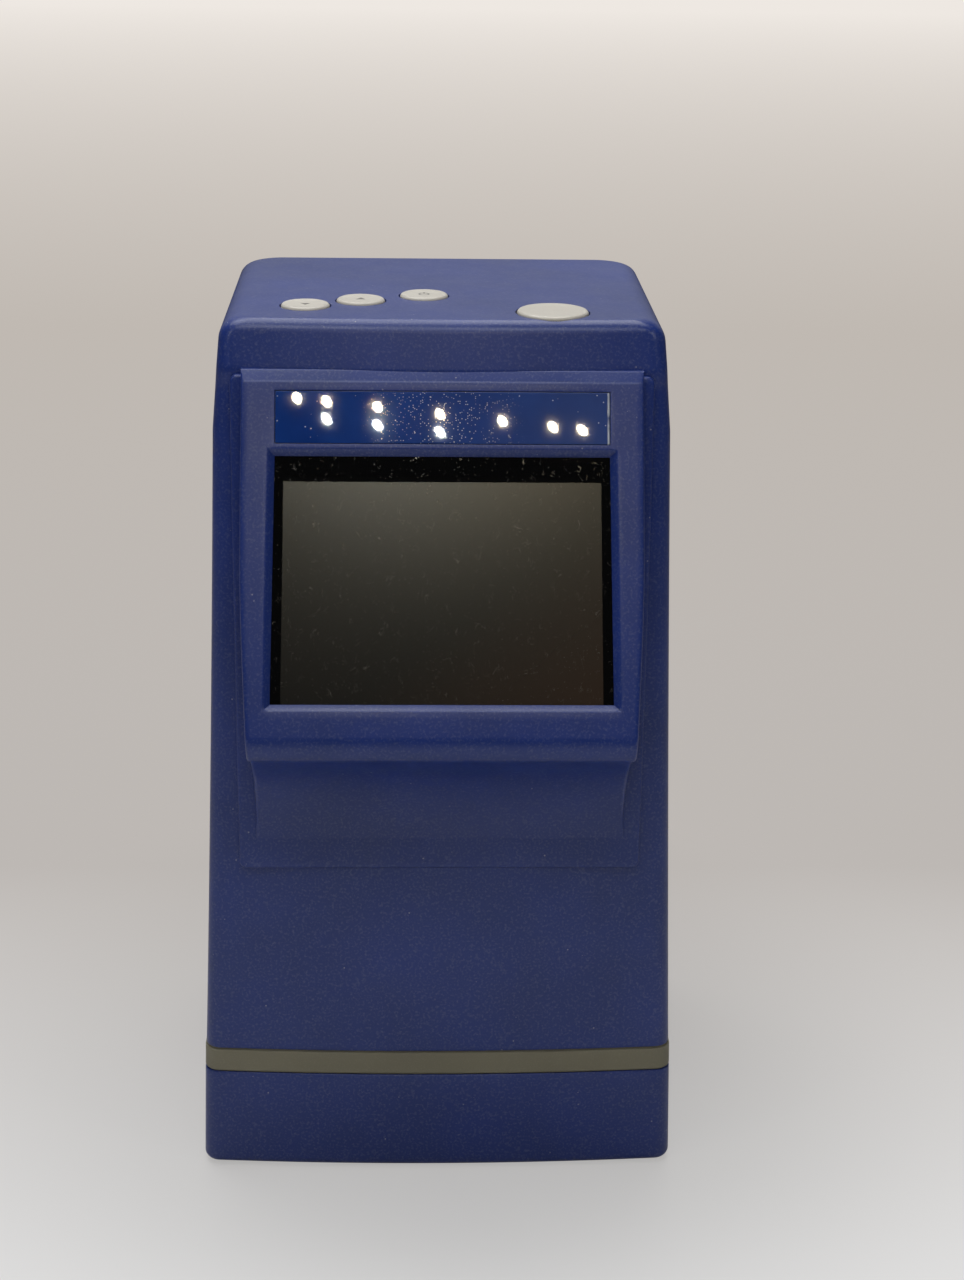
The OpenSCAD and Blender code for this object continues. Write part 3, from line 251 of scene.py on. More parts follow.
def towerLoops(z, inset):
    front = towerFront(z) + rollIn(z, body["frontEdge"], body["frontRoll"])
    back = backY(z) - rollIn(z, body["backEdgeH"], body["backEdge"])
    return levelOutlines(z, halfWidth(z), front, back, inset)


def baseLoops(z, inset):
    high = body["baseTop"]
    half = halfWidth(np.array(high)) + body["step"] + body["draft"] * (high - z) / high
    return levelOutlines(z, half, frontY(z) - body["step"], backY(z) + body["step"], inset)


def linear(hexCode):
    c = np.array([int(hexCode[i:i + 2], 16) / 255 for i in (1, 3, 5)])
    c = np.where(c <= 0.04045, c / 12.92, ((c + 0.055) / 1.055) ** 2.4)
    return (*c.tolist(), 1.0)


# gives a node its settings: a socket is linked, a hex code becomes a colour, "stops" are the
# places and tones of a colour ramp, and what is no input is a property
def setNode(tree, node, settings):
    for key, value in settings.items():
        if key == "stops":
            elements = node.color_ramp.elements
            while len(elements) < len(value):
                elements.new(0.5)
            for element, (at, tone) in zip(elements, value):
                element.position = at
                element.color = linear(tone) if isinstance(tone, str) else (tone, tone, tone, 1)
        elif isinstance(key, str) and key not in node.inputs:
            setattr(node, key, value)
        elif isinstance(value, bpy.types.NodeSocket):
            tree.links.new(value, node.inputs[key])
        else:
            node.inputs[key].default_value = linear(value) if isinstance(value, str) else value


# hands back the output asked for, or all of them
def addNode(tree, kind, settings=None, out=0):
    node = tree.nodes.new("ShaderNode" + kind)
    setNode(tree, node, settings or {})
    return node.outputs if out is None else node.outputs[out]


# sockets of a Mix node for colours: the factor, the two colours and the result
mixBy, mixFrom, mixTo, mixOut = 0, 6, 7, 2


def newMaterial(name, settings):
    material = bpy.data.materials.new(name)
    material.use_nodes = True
    tree = material.node_tree
    shader = tree.nodes["Principled BSDF"]
    setNode(tree, shader, settings)
    return material, tree, shader, addNode(tree, "TexCoord", out="Object")


# dust: small round specks in some of the cells
def dustMask(tree, vector, cell, size, seed=0.0):
    shift = addNode(tree, "VectorMath", {"operation": "ADD", 0: vector, 1: (seed, seed * 0.7, seed * 0.3)})
    specks = addNode(tree, "TexVoronoi", {"Scale": 1 / (cell * mm), "Randomness": 1.0, "Vector": shift}, None)
    near = addNode(tree, "MapRange", {"From Min": size, "From Max": size * 0.55, "Value": specks["Distance"]})
    picked = addNode(tree, "SeparateColor", {"Color": specks["Color"]}, "Red")
    some = addNode(tree, "MapRange", {"From Min": 0.62, "From Max": 0.66, "Value": picked})
    return addNode(tree, "Math", {"operation": "MULTIPLY", 0: near, 1: some})


# lint and hairline scratches: thin bent lines in patches
def scratchMask(tree, vector, scale, width, seed):
    turned = addNode(tree, "Mapping", {"Rotation": (0, 0, seed), "Scale": (1, 0.7, 1),
                                       "Location": (seed * 0.01, 0, 0), "Vector": vector})
    noise = addNode(tree, "TexNoise", {"Scale": 1 / (scale * mm), "Detail": 1.0, "Distortion": 1.2,
                                       "Vector": turned})
    line = addNode(tree, "Math", {"operation": "SUBTRACT", 0: noise, 1: 0.5})
    line = addNode(tree, "Math", {"operation": "ABSOLUTE", 0: line})
    thin = addNode(tree, "MapRange", {"From Min": width, "From Max": width * 0.3, "Value": line})
    patch = addNode(tree, "TexNoise", {"Scale": 1 / (1.5 * mm), "Detail": 1.0, "Vector": turned})
    some = addNode(tree, "MapRange", {"From Min": 0.62, "From Max": 0.7, "Value": patch})
    return addNode(tree, "Math", {"operation": "MULTIPLY", 0: thin, 1: some})


def either(tree, masks):
    total = masks[0]
    for mask in masks[1:]:
        total = addNode(tree, "Math", {"operation": "MAXIMUM", 0: total, 1: mask})
    return total


# moulded plastic: spark-eroded grain, faint mottling, and roughness that varies with handling
def mouldedPlastic(name, colour, darker, paler, roughness=(0.29, 0.37), grainMm=0.45, bump=0.012, dust=0.0,
                   edgeMm=0.25):
    material, tree, shader, place = newMaterial(name, {"IOR": 1.53, "Specular IOR Level": 0.5})
    cloud = addNode(tree, "TexNoise", {"Scale": 1 / (22 * mm), "Detail": 3.0, "Roughness": 0.55,
                                       "Vector": place})
    tone = addNode(tree, "ValToRGB", {"stops": [(0.3, darker), (0.7, colour)], "Fac": cloud})
    if dust:
        specks = dustMask(tree, place, 2.4, dust)
        tone = addNode(tree, "Mix", {"data_type": "RGBA", mixBy: specks, mixFrom: tone, mixTo: "#8f93a6"}, mixOut)
    grain = addNode(tree, "TexNoise", {"Scale": 1 / (grainMm * mm), "Detail": 2.0, "Vector": place})
    speck = addNode(tree, "MapRange", {"From Min": 0.5, "From Max": 0.8, "To Max": 0.22, "Value": grain})
    tone = addNode(tree, "Mix", {"data_type": "RGBA", mixBy: speck, mixFrom: tone, mixTo: paler}, mixOut)
    rub = addNode(tree, "TexNoise", {"Scale": 1 / (9 * mm), "Detail": 4.0, "Vector": place})
    rough = addNode(tree, "ValToRGB", {"stops": [(0.3, roughness[0]), (0.7, roughness[1])], "Fac": rub})
    relief = {"Strength": 1.0, "Distance": bump * mm, "Height": grain}
    if edgeMm:
        relief["Normal"] = addNode(tree, "Bevel", {"samples": 4, "Radius": edgeMm * mm})
    setNode(tree, shader, {"Base Color": tone, "Roughness": rough, "Normal": addNode(tree, "Bump", relief)})
    return material


blue = {"colour": "#213885", "darker": "#1d3378", "paler": "#8c93a8", "dust": 0.07}
cream = {"colour": "#d6d1c7", "darker": "#cdc8bd", "paler": "#e2ded6", "roughness": (0.28, 0.38),
         "grainMm": 0.3, "bump": 0.01}
bodyBlue = mouldedPlastic("moulded_abs_blue", **blue)
insertBlue = mouldedPlastic("moulded_abs_blue_insert", **blue, edgeMm=0)
bandGrey = mouldedPlastic("moulded_abs_olive_grey", "#87836f", "#7e7a68", "#a5a18e", (0.45, 0.6), 0.3)
keyCream = mouldedPlastic("moulded_abs_cream", **cream)
blackNylon = mouldedPlastic("moulded_nylon_black", "#1c1c1c", "#161616", "#3a3a3c", (0.4, 0.55))
switchGrey = mouldedPlastic("moulded_switch_grey", "#b5b5b2", "#a8a8a6", "#cacac8", (0.4, 0.5))
chipBlack = mouldedPlastic("moulded_epoxy_black", "#202024", "#1a1a1e", "#3a3a3c", (0.5, 0.6), 0.15)
innerBlack = mouldedPlastic("moulded_abs_black", "#1a1a1c", "#151517", "#3a3a3c", (0.5, 0.65), 0.3)
opalWhite = mouldedPlastic("moulded_acrylic_opal", "#ebe8e1", "#e3e0d8", "#f4f2ee", (0.4, 0.5), 0.4, 0.01)
footRubber = mouldedPlastic("moulded_rubber_black", "#1d1d1d", "#171717", "#3a3a3c", (0.7, 0.85), 0.3)


# plated or anodised metal: fine lines along one way and a slightly cloudy shine
def platedMetal(name, colour, darker, roughness, grain):
    material, tree, shader, place = newMaterial(name, {"Metallic": 1.0})
    stretch = addNode(tree, "Mapping", {"Scale": (1, 0.06, 1), "Vector": place})
    lines = addNode(tree, "TexNoise", {"Scale": 1 / (grain * mm), "Detail": 2.0, "Vector": stretch})
    tone = addNode(tree, "ValToRGB", {"stops": [(0.35, darker), (0.65, colour)], "Fac": lines})
    rough = addNode(tree, "ValToRGB", {"stops": [(0.3, roughness[0]), (0.7, roughness[1])], "Fac": lines})
    setNode(tree, shader, {"Base Color": tone, "Roughness": rough})
    return material


zincSteel = platedMetal("zinc_plated_steel", "#b4b6ba", "#9a9ca0", (0.25, 0.4), 0.25)
anodisedBlack = platedMetal("anodised_aluminium_black", "#2a2a2c", "#202022", (0.35, 0.45), 0.2)


# sheet, film or lacquer with a cloudy colour and an even gloss
def coatedSheet(name, colour, darker, roughness, patch, settings=None):
    material, tree, shader, place = newMaterial(name, {"Roughness": roughness, **(settings or {})})
    cloud = addNode(tree, "TexNoise", {"Scale": 1 / (patch * mm), "Detail": 3.0, "Vector": place})
    tone = addNode(tree, "ValToRGB", {"stops": [(0.35, darker), (0.65, colour)], "Fac": cloud})
    setNode(tree, shader, {"Base Color": tone})
    return material


glass = {"Transmission Weight": 1.0, "IOR": 1.52}
amberFilm = coatedSheet("polyimide_film_amber", "#8f6224", "#7c521b", 0.25, 4)
greenBoard = coatedSheet("soldermask_green", "#1f5a3a", "#194a30", 0.3, 2)
whiteBoard = coatedSheet("soldermask_white", "#e4e4de", "#d8d8d2", 0.35, 3)
wireSleeve = coatedSheet("extruded_pvc_red", "#8a2b27", "#742320", 0.4, 2)
phosphor = coatedSheet("phosphor_in_silicone", "#f0e3a0", "#e6d68c", 0.3, 1)
displayFilm = coatedSheet("display_polariser_grey", "#3a3836", "#343230", 0.35, 12)
coatedGlass = coatedSheet("coated_optical_glass", "#c9d8e4", "#c3d0e0", 0.02, 3, glass)


# place on the screen face, from Object coordinates: X across and Y down the slope
def faceAxes(tree, place):
    flat = addNode(tree, "Mapping", {
        "vector_type": "TEXTURE", "Location": (0, faceTopY * mm, hood["faceTop"] * mm),
        "Rotation": (-math.pi / 2 - hood["tilt"], 0, 0), "Vector": place})
    return addNode(tree, "SeparateXYZ", {"Vector": flat}, None), flat


# deep blue polished acrylic: mirrors the lamps, with fine dust in the middle, haze towards one end
# and a painted edge highlight along that end, where it is also rougher
def makePolishedAcrylic():
    material, tree, shader, place = newMaterial("polished_acrylic_blue",
                                                {"IOR": 1.49, "Specular IOR Level": 0.6})
    axes, flat = faceAxes(tree, place)
    off = addNode(tree, "Math", {"operation": "ABSOLUTE", 0: axes["X"]})
    middle = addNode(tree, "MapRange", {"From Min": 14 * mm, "From Max": 2 * mm, "Value": off})
    fine = addNode(tree, "Math", {"operation": "MULTIPLY", 0: dustMask(tree, flat, 0.33, 0.3, 0.3), 1: middle})
    # a pale uneven line along the right end: painted edge highlight, which the roughness below also makes matt
    end = addNode(tree, "MapRange", {"From Min": 27.75 * mm, "From Max": 27.9 * mm, "Value": axes["X"]})
    uneven = addNode(tree, "TexNoise", {"Scale": 1 / (2.5 * mm), "Vector": flat})
    some = addNode(tree, "MapRange", {"From Min": 0.3, "From Max": 0.55, "To Max": 0.9, "Value": uneven})
    cut = addNode(tree, "Math", {"operation": "MULTIPLY", 0: end, 1: some})
    # the dust specks, the fine dust and the painted edge highlight make one mask, for colour and for roughness
    dust = either(tree, [dustMask(tree, flat, 1.1, 0.11), fine, cut])
    cloud = addNode(tree, "TexNoise", {"Scale": 1 / (9 * mm), "Detail": 3.0, "Vector": flat})
    haze = addNode(tree, "MapRange", {"From Min": -20 * mm, "From Max": 25 * mm, "To Max": 0.16,
                                      "Value": axes["X"]})
    deep = addNode(tree, "ValToRGB", {"stops": [(0.3, "#12347c"), (0.7, "#173f8c")], "Fac": cloud})
    deep = addNode(tree, "Mix", {"data_type": "RGBA", mixBy: haze, mixFrom: deep, mixTo: "#7f8696"}, mixOut)
    tone = addNode(tree, "Mix", {"data_type": "RGBA", mixBy: dust, mixFrom: deep, mixTo: "#c2cbd8"}, mixOut)
    rough = addNode(tree, "ValToRGB", {"stops": [(0.0, 0.015), (1.0, 0.5)], "Fac": dust})
    setNode(tree, shader, {"Base Color": tone, "Roughness": rough})
    return material


display = {"t": (16.8, 60.0), "half": (26.8, 27.2), "soft": 0.05}


# mask that is 1 on the display, with soft edges; its half width grows from the upper edge down
def displayMask(tree, across, down):
    (t0, t1), (upper, lower), soft = display["t"], display["half"], display["soft"]
    low = addNode(tree, "MapRange", {"From Min": (t0 - soft) * mm, "From Max": (t0 + soft) * mm, "Value": down})
    high = addNode(tree, "MapRange", {"From Min": (t1 + soft) * mm, "From Max": (t1 - soft) * mm, "Value": down})
    wide = addNode(tree, "Math", {"operation": "ABSOLUTE", 0: across})
    grown = addNode(tree, "MapRange", {"From Min": t0 * mm, "From Max": t1 * mm, "To Min": upper * mm,
                                       "To Max": lower * mm, "Value": down})
    left = addNode(tree, "Math", {"operation": "SUBTRACT", 0: grown, 1: wide})
    side = addNode(tree, "MapRange", {"From Min": -soft * mm, "From Max": soft * mm, "Value": left})
    both = addNode(tree, "Math", {"operation": "MULTIPLY", 0: low, 1: high})
    return addNode(tree, "Math", {"operation": "MULTIPLY", 0: both, 1: side})


# clear acrylic pane: black printed border on its back, the grey matt display behind it
def makePrintedPane():
    material, tree, shader, place = newMaterial("cast_acrylic_printed_back", {"IOR": 1.49})
    axes, flat = faceAxes(tree, place)
    shown = displayMask(tree, axes["X"], axes["Y"])
    dust = either(tree, [dustMask(tree, flat, 1.3, 0.065), dustMask(tree, flat, 0.8, 0.085, 0.2),
                         dustMask(tree, flat, 0.5, 0.12, 0.4), scratchMask(tree, flat, 1.5, 0.008, 0.5),
                         scratchMask(tree, flat, 1.1, 0.009, 2.1)])
    cloud = addNode(tree, "TexNoise", {"Scale": 1 / (18 * mm), "Detail": 2.0, "Vector": flat})
    grey = addNode(tree, "ValToRGB", {"stops": [(0.3, "#0f0e0e"), (0.7, "#131110")], "Fac": cloud})
    slant = addNode(tree, "VectorMath", {"operation": "DOT_PRODUCT", 0: flat, 1: (0.6, 0.8, 0)}, "Value")
    brown = addNode(tree, "MapRange", {"From Min": 34 * mm, "From Max": 62 * mm, "Value": slant})
    grey = addNode(tree, "Mix", {"data_type": "RGBA", mixBy: brown, mixFrom: grey, mixTo: "#35261c"}, mixOut)
    tone = addNode(tree, "Mix", {"data_type": "RGBA", mixBy: shown, mixFrom: "#050506", mixTo: grey}, mixOut)
    tone = addNode(tree, "Mix", {"data_type": "RGBA", mixBy: dust, mixFrom: tone, mixTo: "#605d58"}, mixOut)
    matt = either(tree, [shown, dust])
    rough = addNode(tree, "ValToRGB", {"stops": [(0.0, 0.015), (1.0, 0.22)], "Fac": matt})
    setNode(tree, shader, {"Base Color": tone, "Roughness": rough})
    return material


mark = {"size": 0.85, "reach": 0.51, "soft": 0.06, "line": (0.2, 0.1), "barAt": 0.935, "barHalf": 0.425}


# printed key marks: a triangle given by its three edge directions, or a ring with a bar at its top
def printedKey(name, at, turn):
    material = mouldedPlastic(name, **cream)
    tree = material.node_tree
    place = addNode(tree, "TexCoord", out="Object")
    local = addNode(tree, "Mapping", {"vector_type": "TEXTURE", "Location": (at[0] * mm, at[1] * mm, 0),
                                      "Vector": place})
    flat = addNode(tree, "VectorMath", {"operation": "MULTIPLY", 0: local, 1: (1, 1, 0)})
    if turn is None:
        away = addNode(tree, "VectorMath", {"operation": "LENGTH", 0: flat}, "Value")
        off = addNode(tree, "Math", {"operation": "SUBTRACT", 0: away, 1: mark["size"] * mm})
        ring = addNode(tree, "Math", {"operation": "ABSOLUTE", 0: off})
        axes = addNode(tree, "SeparateXYZ", {"Vector": flat}, None)
        side = addNode(tree, "Math", {"operation": "ABSOLUTE", 0: axes["X"]})
        mid = addNode(tree, "Math", {"operation": "SUBTRACT", 0: axes["Y"], 1: mark["barAt"] * mm})
        along = addNode(tree, "Math", {"operation": "ABSOLUTE", 0: mid})
        past = addNode(tree, "Math", {"operation": "SUBTRACT", 0: along, 1: mark["barHalf"] * mm})
        bar = addNode(tree, "Math", {"operation": "MAXIMUM", 0: side, 1: past})
        far = addNode(tree, "Math", {"operation": "MINIMUM", 0: ring, 1: bar})
        outer, inner = mark["line"]
    else:
        ways = [math.radians(turn + 120 * k) for k in range(3)]
        far = either(tree, [addNode(tree, "VectorMath", {
            "operation": "DOT_PRODUCT", 0: flat, 1: (math.cos(a), math.sin(a), 0)}, "Value") for a in ways])
        outer, inner = mark["reach"] + mark["soft"], mark["reach"] - mark["soft"]
    ink = addNode(tree, "MapRange", {"From Min": outer * mm, "From Max": inner * mm, "Value": far})
    shader = tree.nodes["Principled BSDF"]
    under = shader.inputs["Base Color"].links[0].from_socket
    tone = addNode(tree, "Mix", {"data_type": "RGBA", mixBy: ink, mixFrom: under, mixTo: "#77736c"}, mixOut)
    setNode(tree, shader, {"Base Color": tone})
    return material


polishedAcrylic = makePolishedAcrylic()
printedPane = makePrintedPane()
print("materials made")

slot = {"y": (frontAtGround + backAtGround) / 2, "z": 26.0, "width": 57.0, "height": 7.5, "corner": 1.0}
cover = {"half": 32.0, "up": (46.0, 140.0), "corner": 4.0, "gap": 0.15, "edge": 0.3, "screw": 4.0,
         "head": 2.2, "headDepth": 1.3, "shank": 1.2, "socketGap": 0.3, "jackR": 3.1}
backTilt = math.atan(body["backLean"] / body["topZ"])
keys = {
    "left_button": {"at": (-23.7, -5.9), "r": 4.25, "body": "left_key", "turn": 90},
    "right_button": {"at": (-14.2, -1.4), "r": 4.25, "body": "right_key", "turn": -90},
    "power_button": {"at": (-3.1, 3.1), "r": 4.25, "body": "power_key", "turn": None},
    "ok_button": {"at": (19.0, -10.2), "r": 6.2, "body": "ok_key"},
}
keyGap = 0.25
# how far the cutters of the tower go: through the front, both sides, the top and the back wall
cuts = {"front": (-60.0, -12.0), "sides": (-60.0, 60.0), "top": (150.0, 165.0), "back": (-5.0, 8.0),
        "ledge": 145.0, "ledgeCorner": 0.3}
tower = {"foot": 0.3, "innerFoot": 3.0, "innerTop": (6.0, 3.0, body["wall"])}


def panelOutline(grow):
    (z0, z1), (h0, h1) = panelZ, hood["panelHalf"]
    return roundQuad(h0 + grow, h1 + grow, z0 - grow, z1 + grow, hood["panelCorner"] + grow, 60)


# points given as across, down the back and into the object, placed in the part's frame
def onBack(points):
    x, t, d = (points[..., k] for k in range(3))
    y = backY(0) + t * math.sin(backTilt) - d * math.cos(backTilt)
    return np.stack([-x, y, -t * math.cos(backTilt) - d * math.sin(backTilt)], -1)


# straight block through the back wall, with the given outline
def blockInBack(outline, d):
    flat = outline * np.array([1, -1])
    loops = [onBack(np.insert(flat, 2, deep, axis=1)) for deep in d[::-1]]
    return tubeOf(np.stack(loops), True, True)


# openings of the tower: the insert, the hood's upper edge, the film slot, the keys and the rear cover
def towerCutters():
    seam = hood["seam"]
    low, high = (half + seam for half in hood["panelHalf"])
    panel = roundQuad(low, high, panelZ[0] - seam, panelZ[1] + seam, hood["panelCorner"], 1)
    half = hood["halfW"] + seam
    ledge = roundQuad(half, half, cuts["ledge"], hood["topZ"] + seam, cuts["ledgeCorner"], 1)
    half = slot["width"] / 2
    film = roundQuad(half, half, slot["z"], slot["z"] + slot["height"], slot["corner"], 1)
    rear = roundQuad(cover["half"], cover["half"], *cover["up"], cover["corner"], 1)
    blocks = [blockAlong(1, panel, cuts["front"]), blockAlong(1, ledge, cuts["front"]),
              blockAlong(0, film + np.array([slot["y"], 0]), cuts["sides"])]
    blocks += [blockAlong(2, circle(*key["at"], key["r"] + keyGap, 64), cuts["top"]) for key in keys.values()]
    return [makeObject("cutter", *block) for block in blocks + [blockInBack(rear, cuts["back"])]]


def makeTower():
    low, high = body["bandTop"], body["topZ"]
    z = np.concatenate([np.linspace(low + tower["foot"], kinkZ, 60), np.linspace(kinkZ, edgeZ, 46)[1:-1],
                        high - (high - edgeZ) * (1 - np.sin(quarterTurn(24)))])
    foot = [towerLoops(np.array([low + up]), inset) for inset, up in roundEdge(tower["foot"], 4)[:0:-1]]
    outer = np.concatenate(foot + [towerLoops(z, 0)])
    zIn = np.concatenate([[low], np.linspace(low + tower["innerFoot"], kinkZ, 20),
                          [high - down for down in tower["innerTop"]]])
    p1, f1 = tubeOf(outer, False, True)
    p2, f2 = tubeOf(towerLoops(zIn, body["wall"]), False, True, len(p1), True)
    n = outer.shape[1]
    ring = [[len(p1) + i, len(p1) + (i + 1) % n, (i + 1) % n, i] for i in range(n)]
    piece = makeObject("towerMoulding", np.concatenate([p1, p2]), f1 + f2 + ring)
    cutAway(piece, towerCutters())
    piece.data.materials.append(bodyBlue)
    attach(piece, "scanner")
    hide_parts("tower_shell")


makeTower()
print("tower made")

# openings of the face; each step of an opening's wall is how far in from its edge and how deep
window = {"t": (11.4, 55.4), "half": (29.35, 30.0), "soft": 0.25,
          "steps": [(0.13, 0.02), (0.25, 0.08), (0.75, 0.58), (1.25, 1.08), (1.3, 1.15), (1.34, 1.25),
                    (1.34, 1.9)]}
strip = {"t": (1.6, 10.4), "half": 28.15, "gap": 0.12, "soft": 0.12, "deep": (0.03, 1.0), "corner": 0.2,
         "edge": 0.1, "steps": [(0.06, 0.01), (0.12, 0.05), (0.12, 1.05)]}
stripRows = (strip["t"][0] - strip["gap"] - strip["soft"], strip["t"][1] + strip["gap"] + strip["soft"])
windowRows = (window["t"][0] - window["soft"], window["t"][1] + window["soft"])
profile = {"start": 1.2, "topStep": 0.4, "faceStep": 1.2, "topCut": 0.25, "faceCut": 0.36, "creaseCut": 0.25,
           "lipShort": 0.05, "end": ((0.0, 1.0), (0.6, 2.5))}
# steps of the hood from the middle to an opening's edge, on to the side edge, round it and down the wall
hoodSteps = {"opening": 23, "beside": 6, "edge": 6, "wall": 8}


# corner rounded by a curve that starts and ends one cut length from it
def softCorner(corner, before, after, cut, steps=6):
    a = corner - before * cut
    b = corner + after * cut
    f = np.linspace(0, 1, steps + 1)[:, None]
    return a * (1 - f) ** 2 + 2 * corner * f * (1 - f) + b * f * f


# hood's side view, from the tower's front over the face and the lip to the hollow's end
def hoodProfile():
    down = np.array([-math.sin(hood["tilt"]), -math.cos(hood["tilt"])])
    slope = np.array([-1, -1]) / math.sqrt(2)
    topCorner = np.array([faceTopY + hood["topZ"] - hood["faceTop"], hood["topZ"]])
    faceCorner = np.array([faceTopY, hood["faceTop"]])
    start = np.array([[frontY(hood["topZ"]) + profile["start"], hood["topZ"]],
                      [topCorner[0] + profile["topStep"], hood["topZ"]]])
    stops = [profile["faceCut"]] + sorted(stripRows + windowRows) + [hood["faceLen"]]
    t = np.concatenate([np.linspace(a, b, max(2, int((b - a) / profile["faceStep"]) + 1))[:-1]
                        for a, b in zip(stops[:-1], stops[1:])])
    face = np.stack([facePoint(v, 0) for v in t])
    a = np.linspace(math.pi - hood["tilt"], math.pi + hood["lipTurn"] - profile["lipShort"], 26)
    lipArc = lipC + hood["lipR"] * np.stack([np.cos(a), np.sin(a)], -1)
    centre = np.array([scoopY - scoopR, scoopZ])
    top = math.asin(hood["scoopH"] / scoopR)
    a = np.linspace(top - profile["creaseCut"] / scoopR, 0, 44)
    scoop = centre + scoopR * np.stack([np.cos(a), np.sin(a)], -1)
    lipEnd = np.array([math.sin(hood["lipTurn"]), -math.cos(hood["lipTurn"])])
    scoopStart = np.array([math.sin(top), -math.cos(top)])
    crease = softCorner(creasePoint, lipEnd, scoopStart, profile["creaseCut"])
    end = np.array([[scoopY + back, scoopZ - low] for back, low in profile["end"]])
    points = np.concatenate([start, softCorner(topCorner, np.array([-1.0, 0]), slope, profile["topCut"], 4),
                             softCorner(faceCorner, slope, down, profile["faceCut"], 5)[:-1],
                             face, lipArc, crease[1:-1], scoop, end])
    return points, t


# the sides draw in on a soft curve towards the lower end
def hoodHalf(z):
    f = np.clip((drawZ[0] - z) / (drawZ[0] - drawZ[1]), 0, 1)
    return hood["halfW"] - hood["draw"] * f * f * (3 - 2 * f)


# the hood is its side view carried across: the last stretch before each side turns a quarter
# round while the side view shrinks by the edge radius, then the wall runs straight back
def hoodGrid(side, t):
    tangent = np.gradient(side, axis=0)
    tangent /= np.linalg.norm(tangent, axis=1)[:, None]
    normal = np.stack([tangent[:, 1], -tangent[:, 0]], -1)
    r = hood["edge"]
    depth = np.clip((frontY(side[:, 1]) - hood["panelProud"] - side[:, 0]) / r, 0, 1) * r
    half = hoodHalf(side[:, 1])
    f = np.clip((t - window["t"][0]) / (window["t"][1] - window["t"][0]), 0, 1)
    holeEdge = window["half"][0] + (window["half"][1] - window["half"][0]) * f + window["soft"]
    onStrip = (t >= strip["t"][0] - 1) & (t <= stripRows[1] + 0.01)
    holeEdge = np.where(onStrip, strip["half"] + strip["gap"] + strip["soft"], holeEdge)
    inner = np.linspace(0, 1, hoodSteps["opening"] + 1)[None, :] * holeEdge[:, None]
    out = np.linspace(0, 1, hoodSteps["beside"] + 1)[None, 1:]
    outer = holeEdge[:, None] + out * (half - depth - holeEdge)[:, None]
    flat = np.concatenate([inner, outer], 1)
    a = quarterTurn(hoodSteps["edge"])[None, 1:]
    xEdge = (half - depth)[:, None] + depth[:, None] * np.sin(a)
    inward = depth[:, None] * (1 - np.cos(a))
    yEdge = side[:, :1] - normal[:, :1] * inward
    zEdge = side[:, 1:] - normal[:, 1:] * inward
    yStop = frontY(zEdge[:, -1:]) + 1.0
    q = np.linspace(0, 1, hoodSteps["wall"] + 1)[None, 1:]
    yWall = yEdge[:, -1:] + np.maximum(yStop - yEdge[:, -1:], 0) * q
    x = np.concatenate([flat, xEdge, half[:, None] + 0 * yWall], 1)
    y = np.concatenate([np.repeat(side[:, :1], flat.shape[1], 1), yEdge, yWall], 1)
    z = np.concatenate([np.repeat(side[:, 1:], flat.shape[1], 1), zEdge, zEdge[:, -1:] + 0 * yWall], 1)
    right = np.stack([x, y, z], -1)
    left = right[:, :0:-1] * np.array([-1, 1, 1])
    return np.concatenate([left, right], 1)


# the cells of the strip and of the window are left out, and the edge of each opening rolls over
# and runs down the recess wall or the bevel; the strip's recess has a floor
def makeHood():
    side, faceT = hoodProfile()
    k = len(side)
    t = np.full(k, -1.0)
    first = int(np.argmin(np.abs(side - facePoint(faceT[0], 0)).sum(1)))
    t[first:first + len(faceT)] = faceT
    grid = hoodGrid(side, t)
    cols = grid.shape[1]
    faces = np.array(gridFaces(k, cols)).reshape(k - 1, cols - 1, 4)
    keep = np.ones((k - 1, cols - 1), bool)
    points = [grid.reshape(-1, 3)]
    count = len(points[0])
    walls = []
    downAxis = np.array([0, -math.sin(hood["tilt"]), -math.cos(hood["tilt"])])
    inAxis = np.array([0, math.cos(hood["tilt"]), -math.sin(hood["tilt"])])
    c0, c1 = (cols // 2 + way * hoodSteps["opening"] for way in (-1, 1))
    for opening, (low, high) in ((strip, stripRows), (window, windowRows)):
        rows = np.where((t[:-1] > 0) & (t[1:] > 0) & (t[:-1] > low - 0.001) & (t[1:] < high + 0.001))[0]
        r0, r1 = int(rows[0]), int(rows[-1]) + 1
        keep[r0:r1, c0:c1] = False
        ring = [r0 * cols + c for c in range(c0, c1)] + [r * cols + c1 for r in range(r0, r1)]
        ring += [r1 * cols + c for c in range(c1, c0, -1)] + [r * cols + c0 for r in range(r1, r0, -1)]
        row, col = np.divmod(np.array(ring), cols)
        inX = (col == c0) * 1.0 - (col == c1)
        inV = (row == r0) * 1.0 - (row == r1)
        inward = inX[:, None] * np.array([1, 0, 0]) + inV[:, None] * downAxis
        n = len(ring)
        for inwards, deep in opening["steps"]:
            points.append(points[0][row * cols + col] + inward * inwards + inAxis * deep)
            new = list(range(count, count + n))
            walls += [[ring[i], ring[(i + 1) % n], new[(i + 1) % n], new[i]] for i in range(n)]
            count += n
            ring = new
        if opening is strip:
            walls.append(ring)
    return np.concatenate(points), faces[keep].tolist() + walls


# border: loops from its back edge round a soft rim to the hole behind the hood, and back inside
border = {"hole": 32.3, "holeUp": (69.0, 148.0), "holeCorner": 0.3, "back": 2.8, "inside": 1.6}


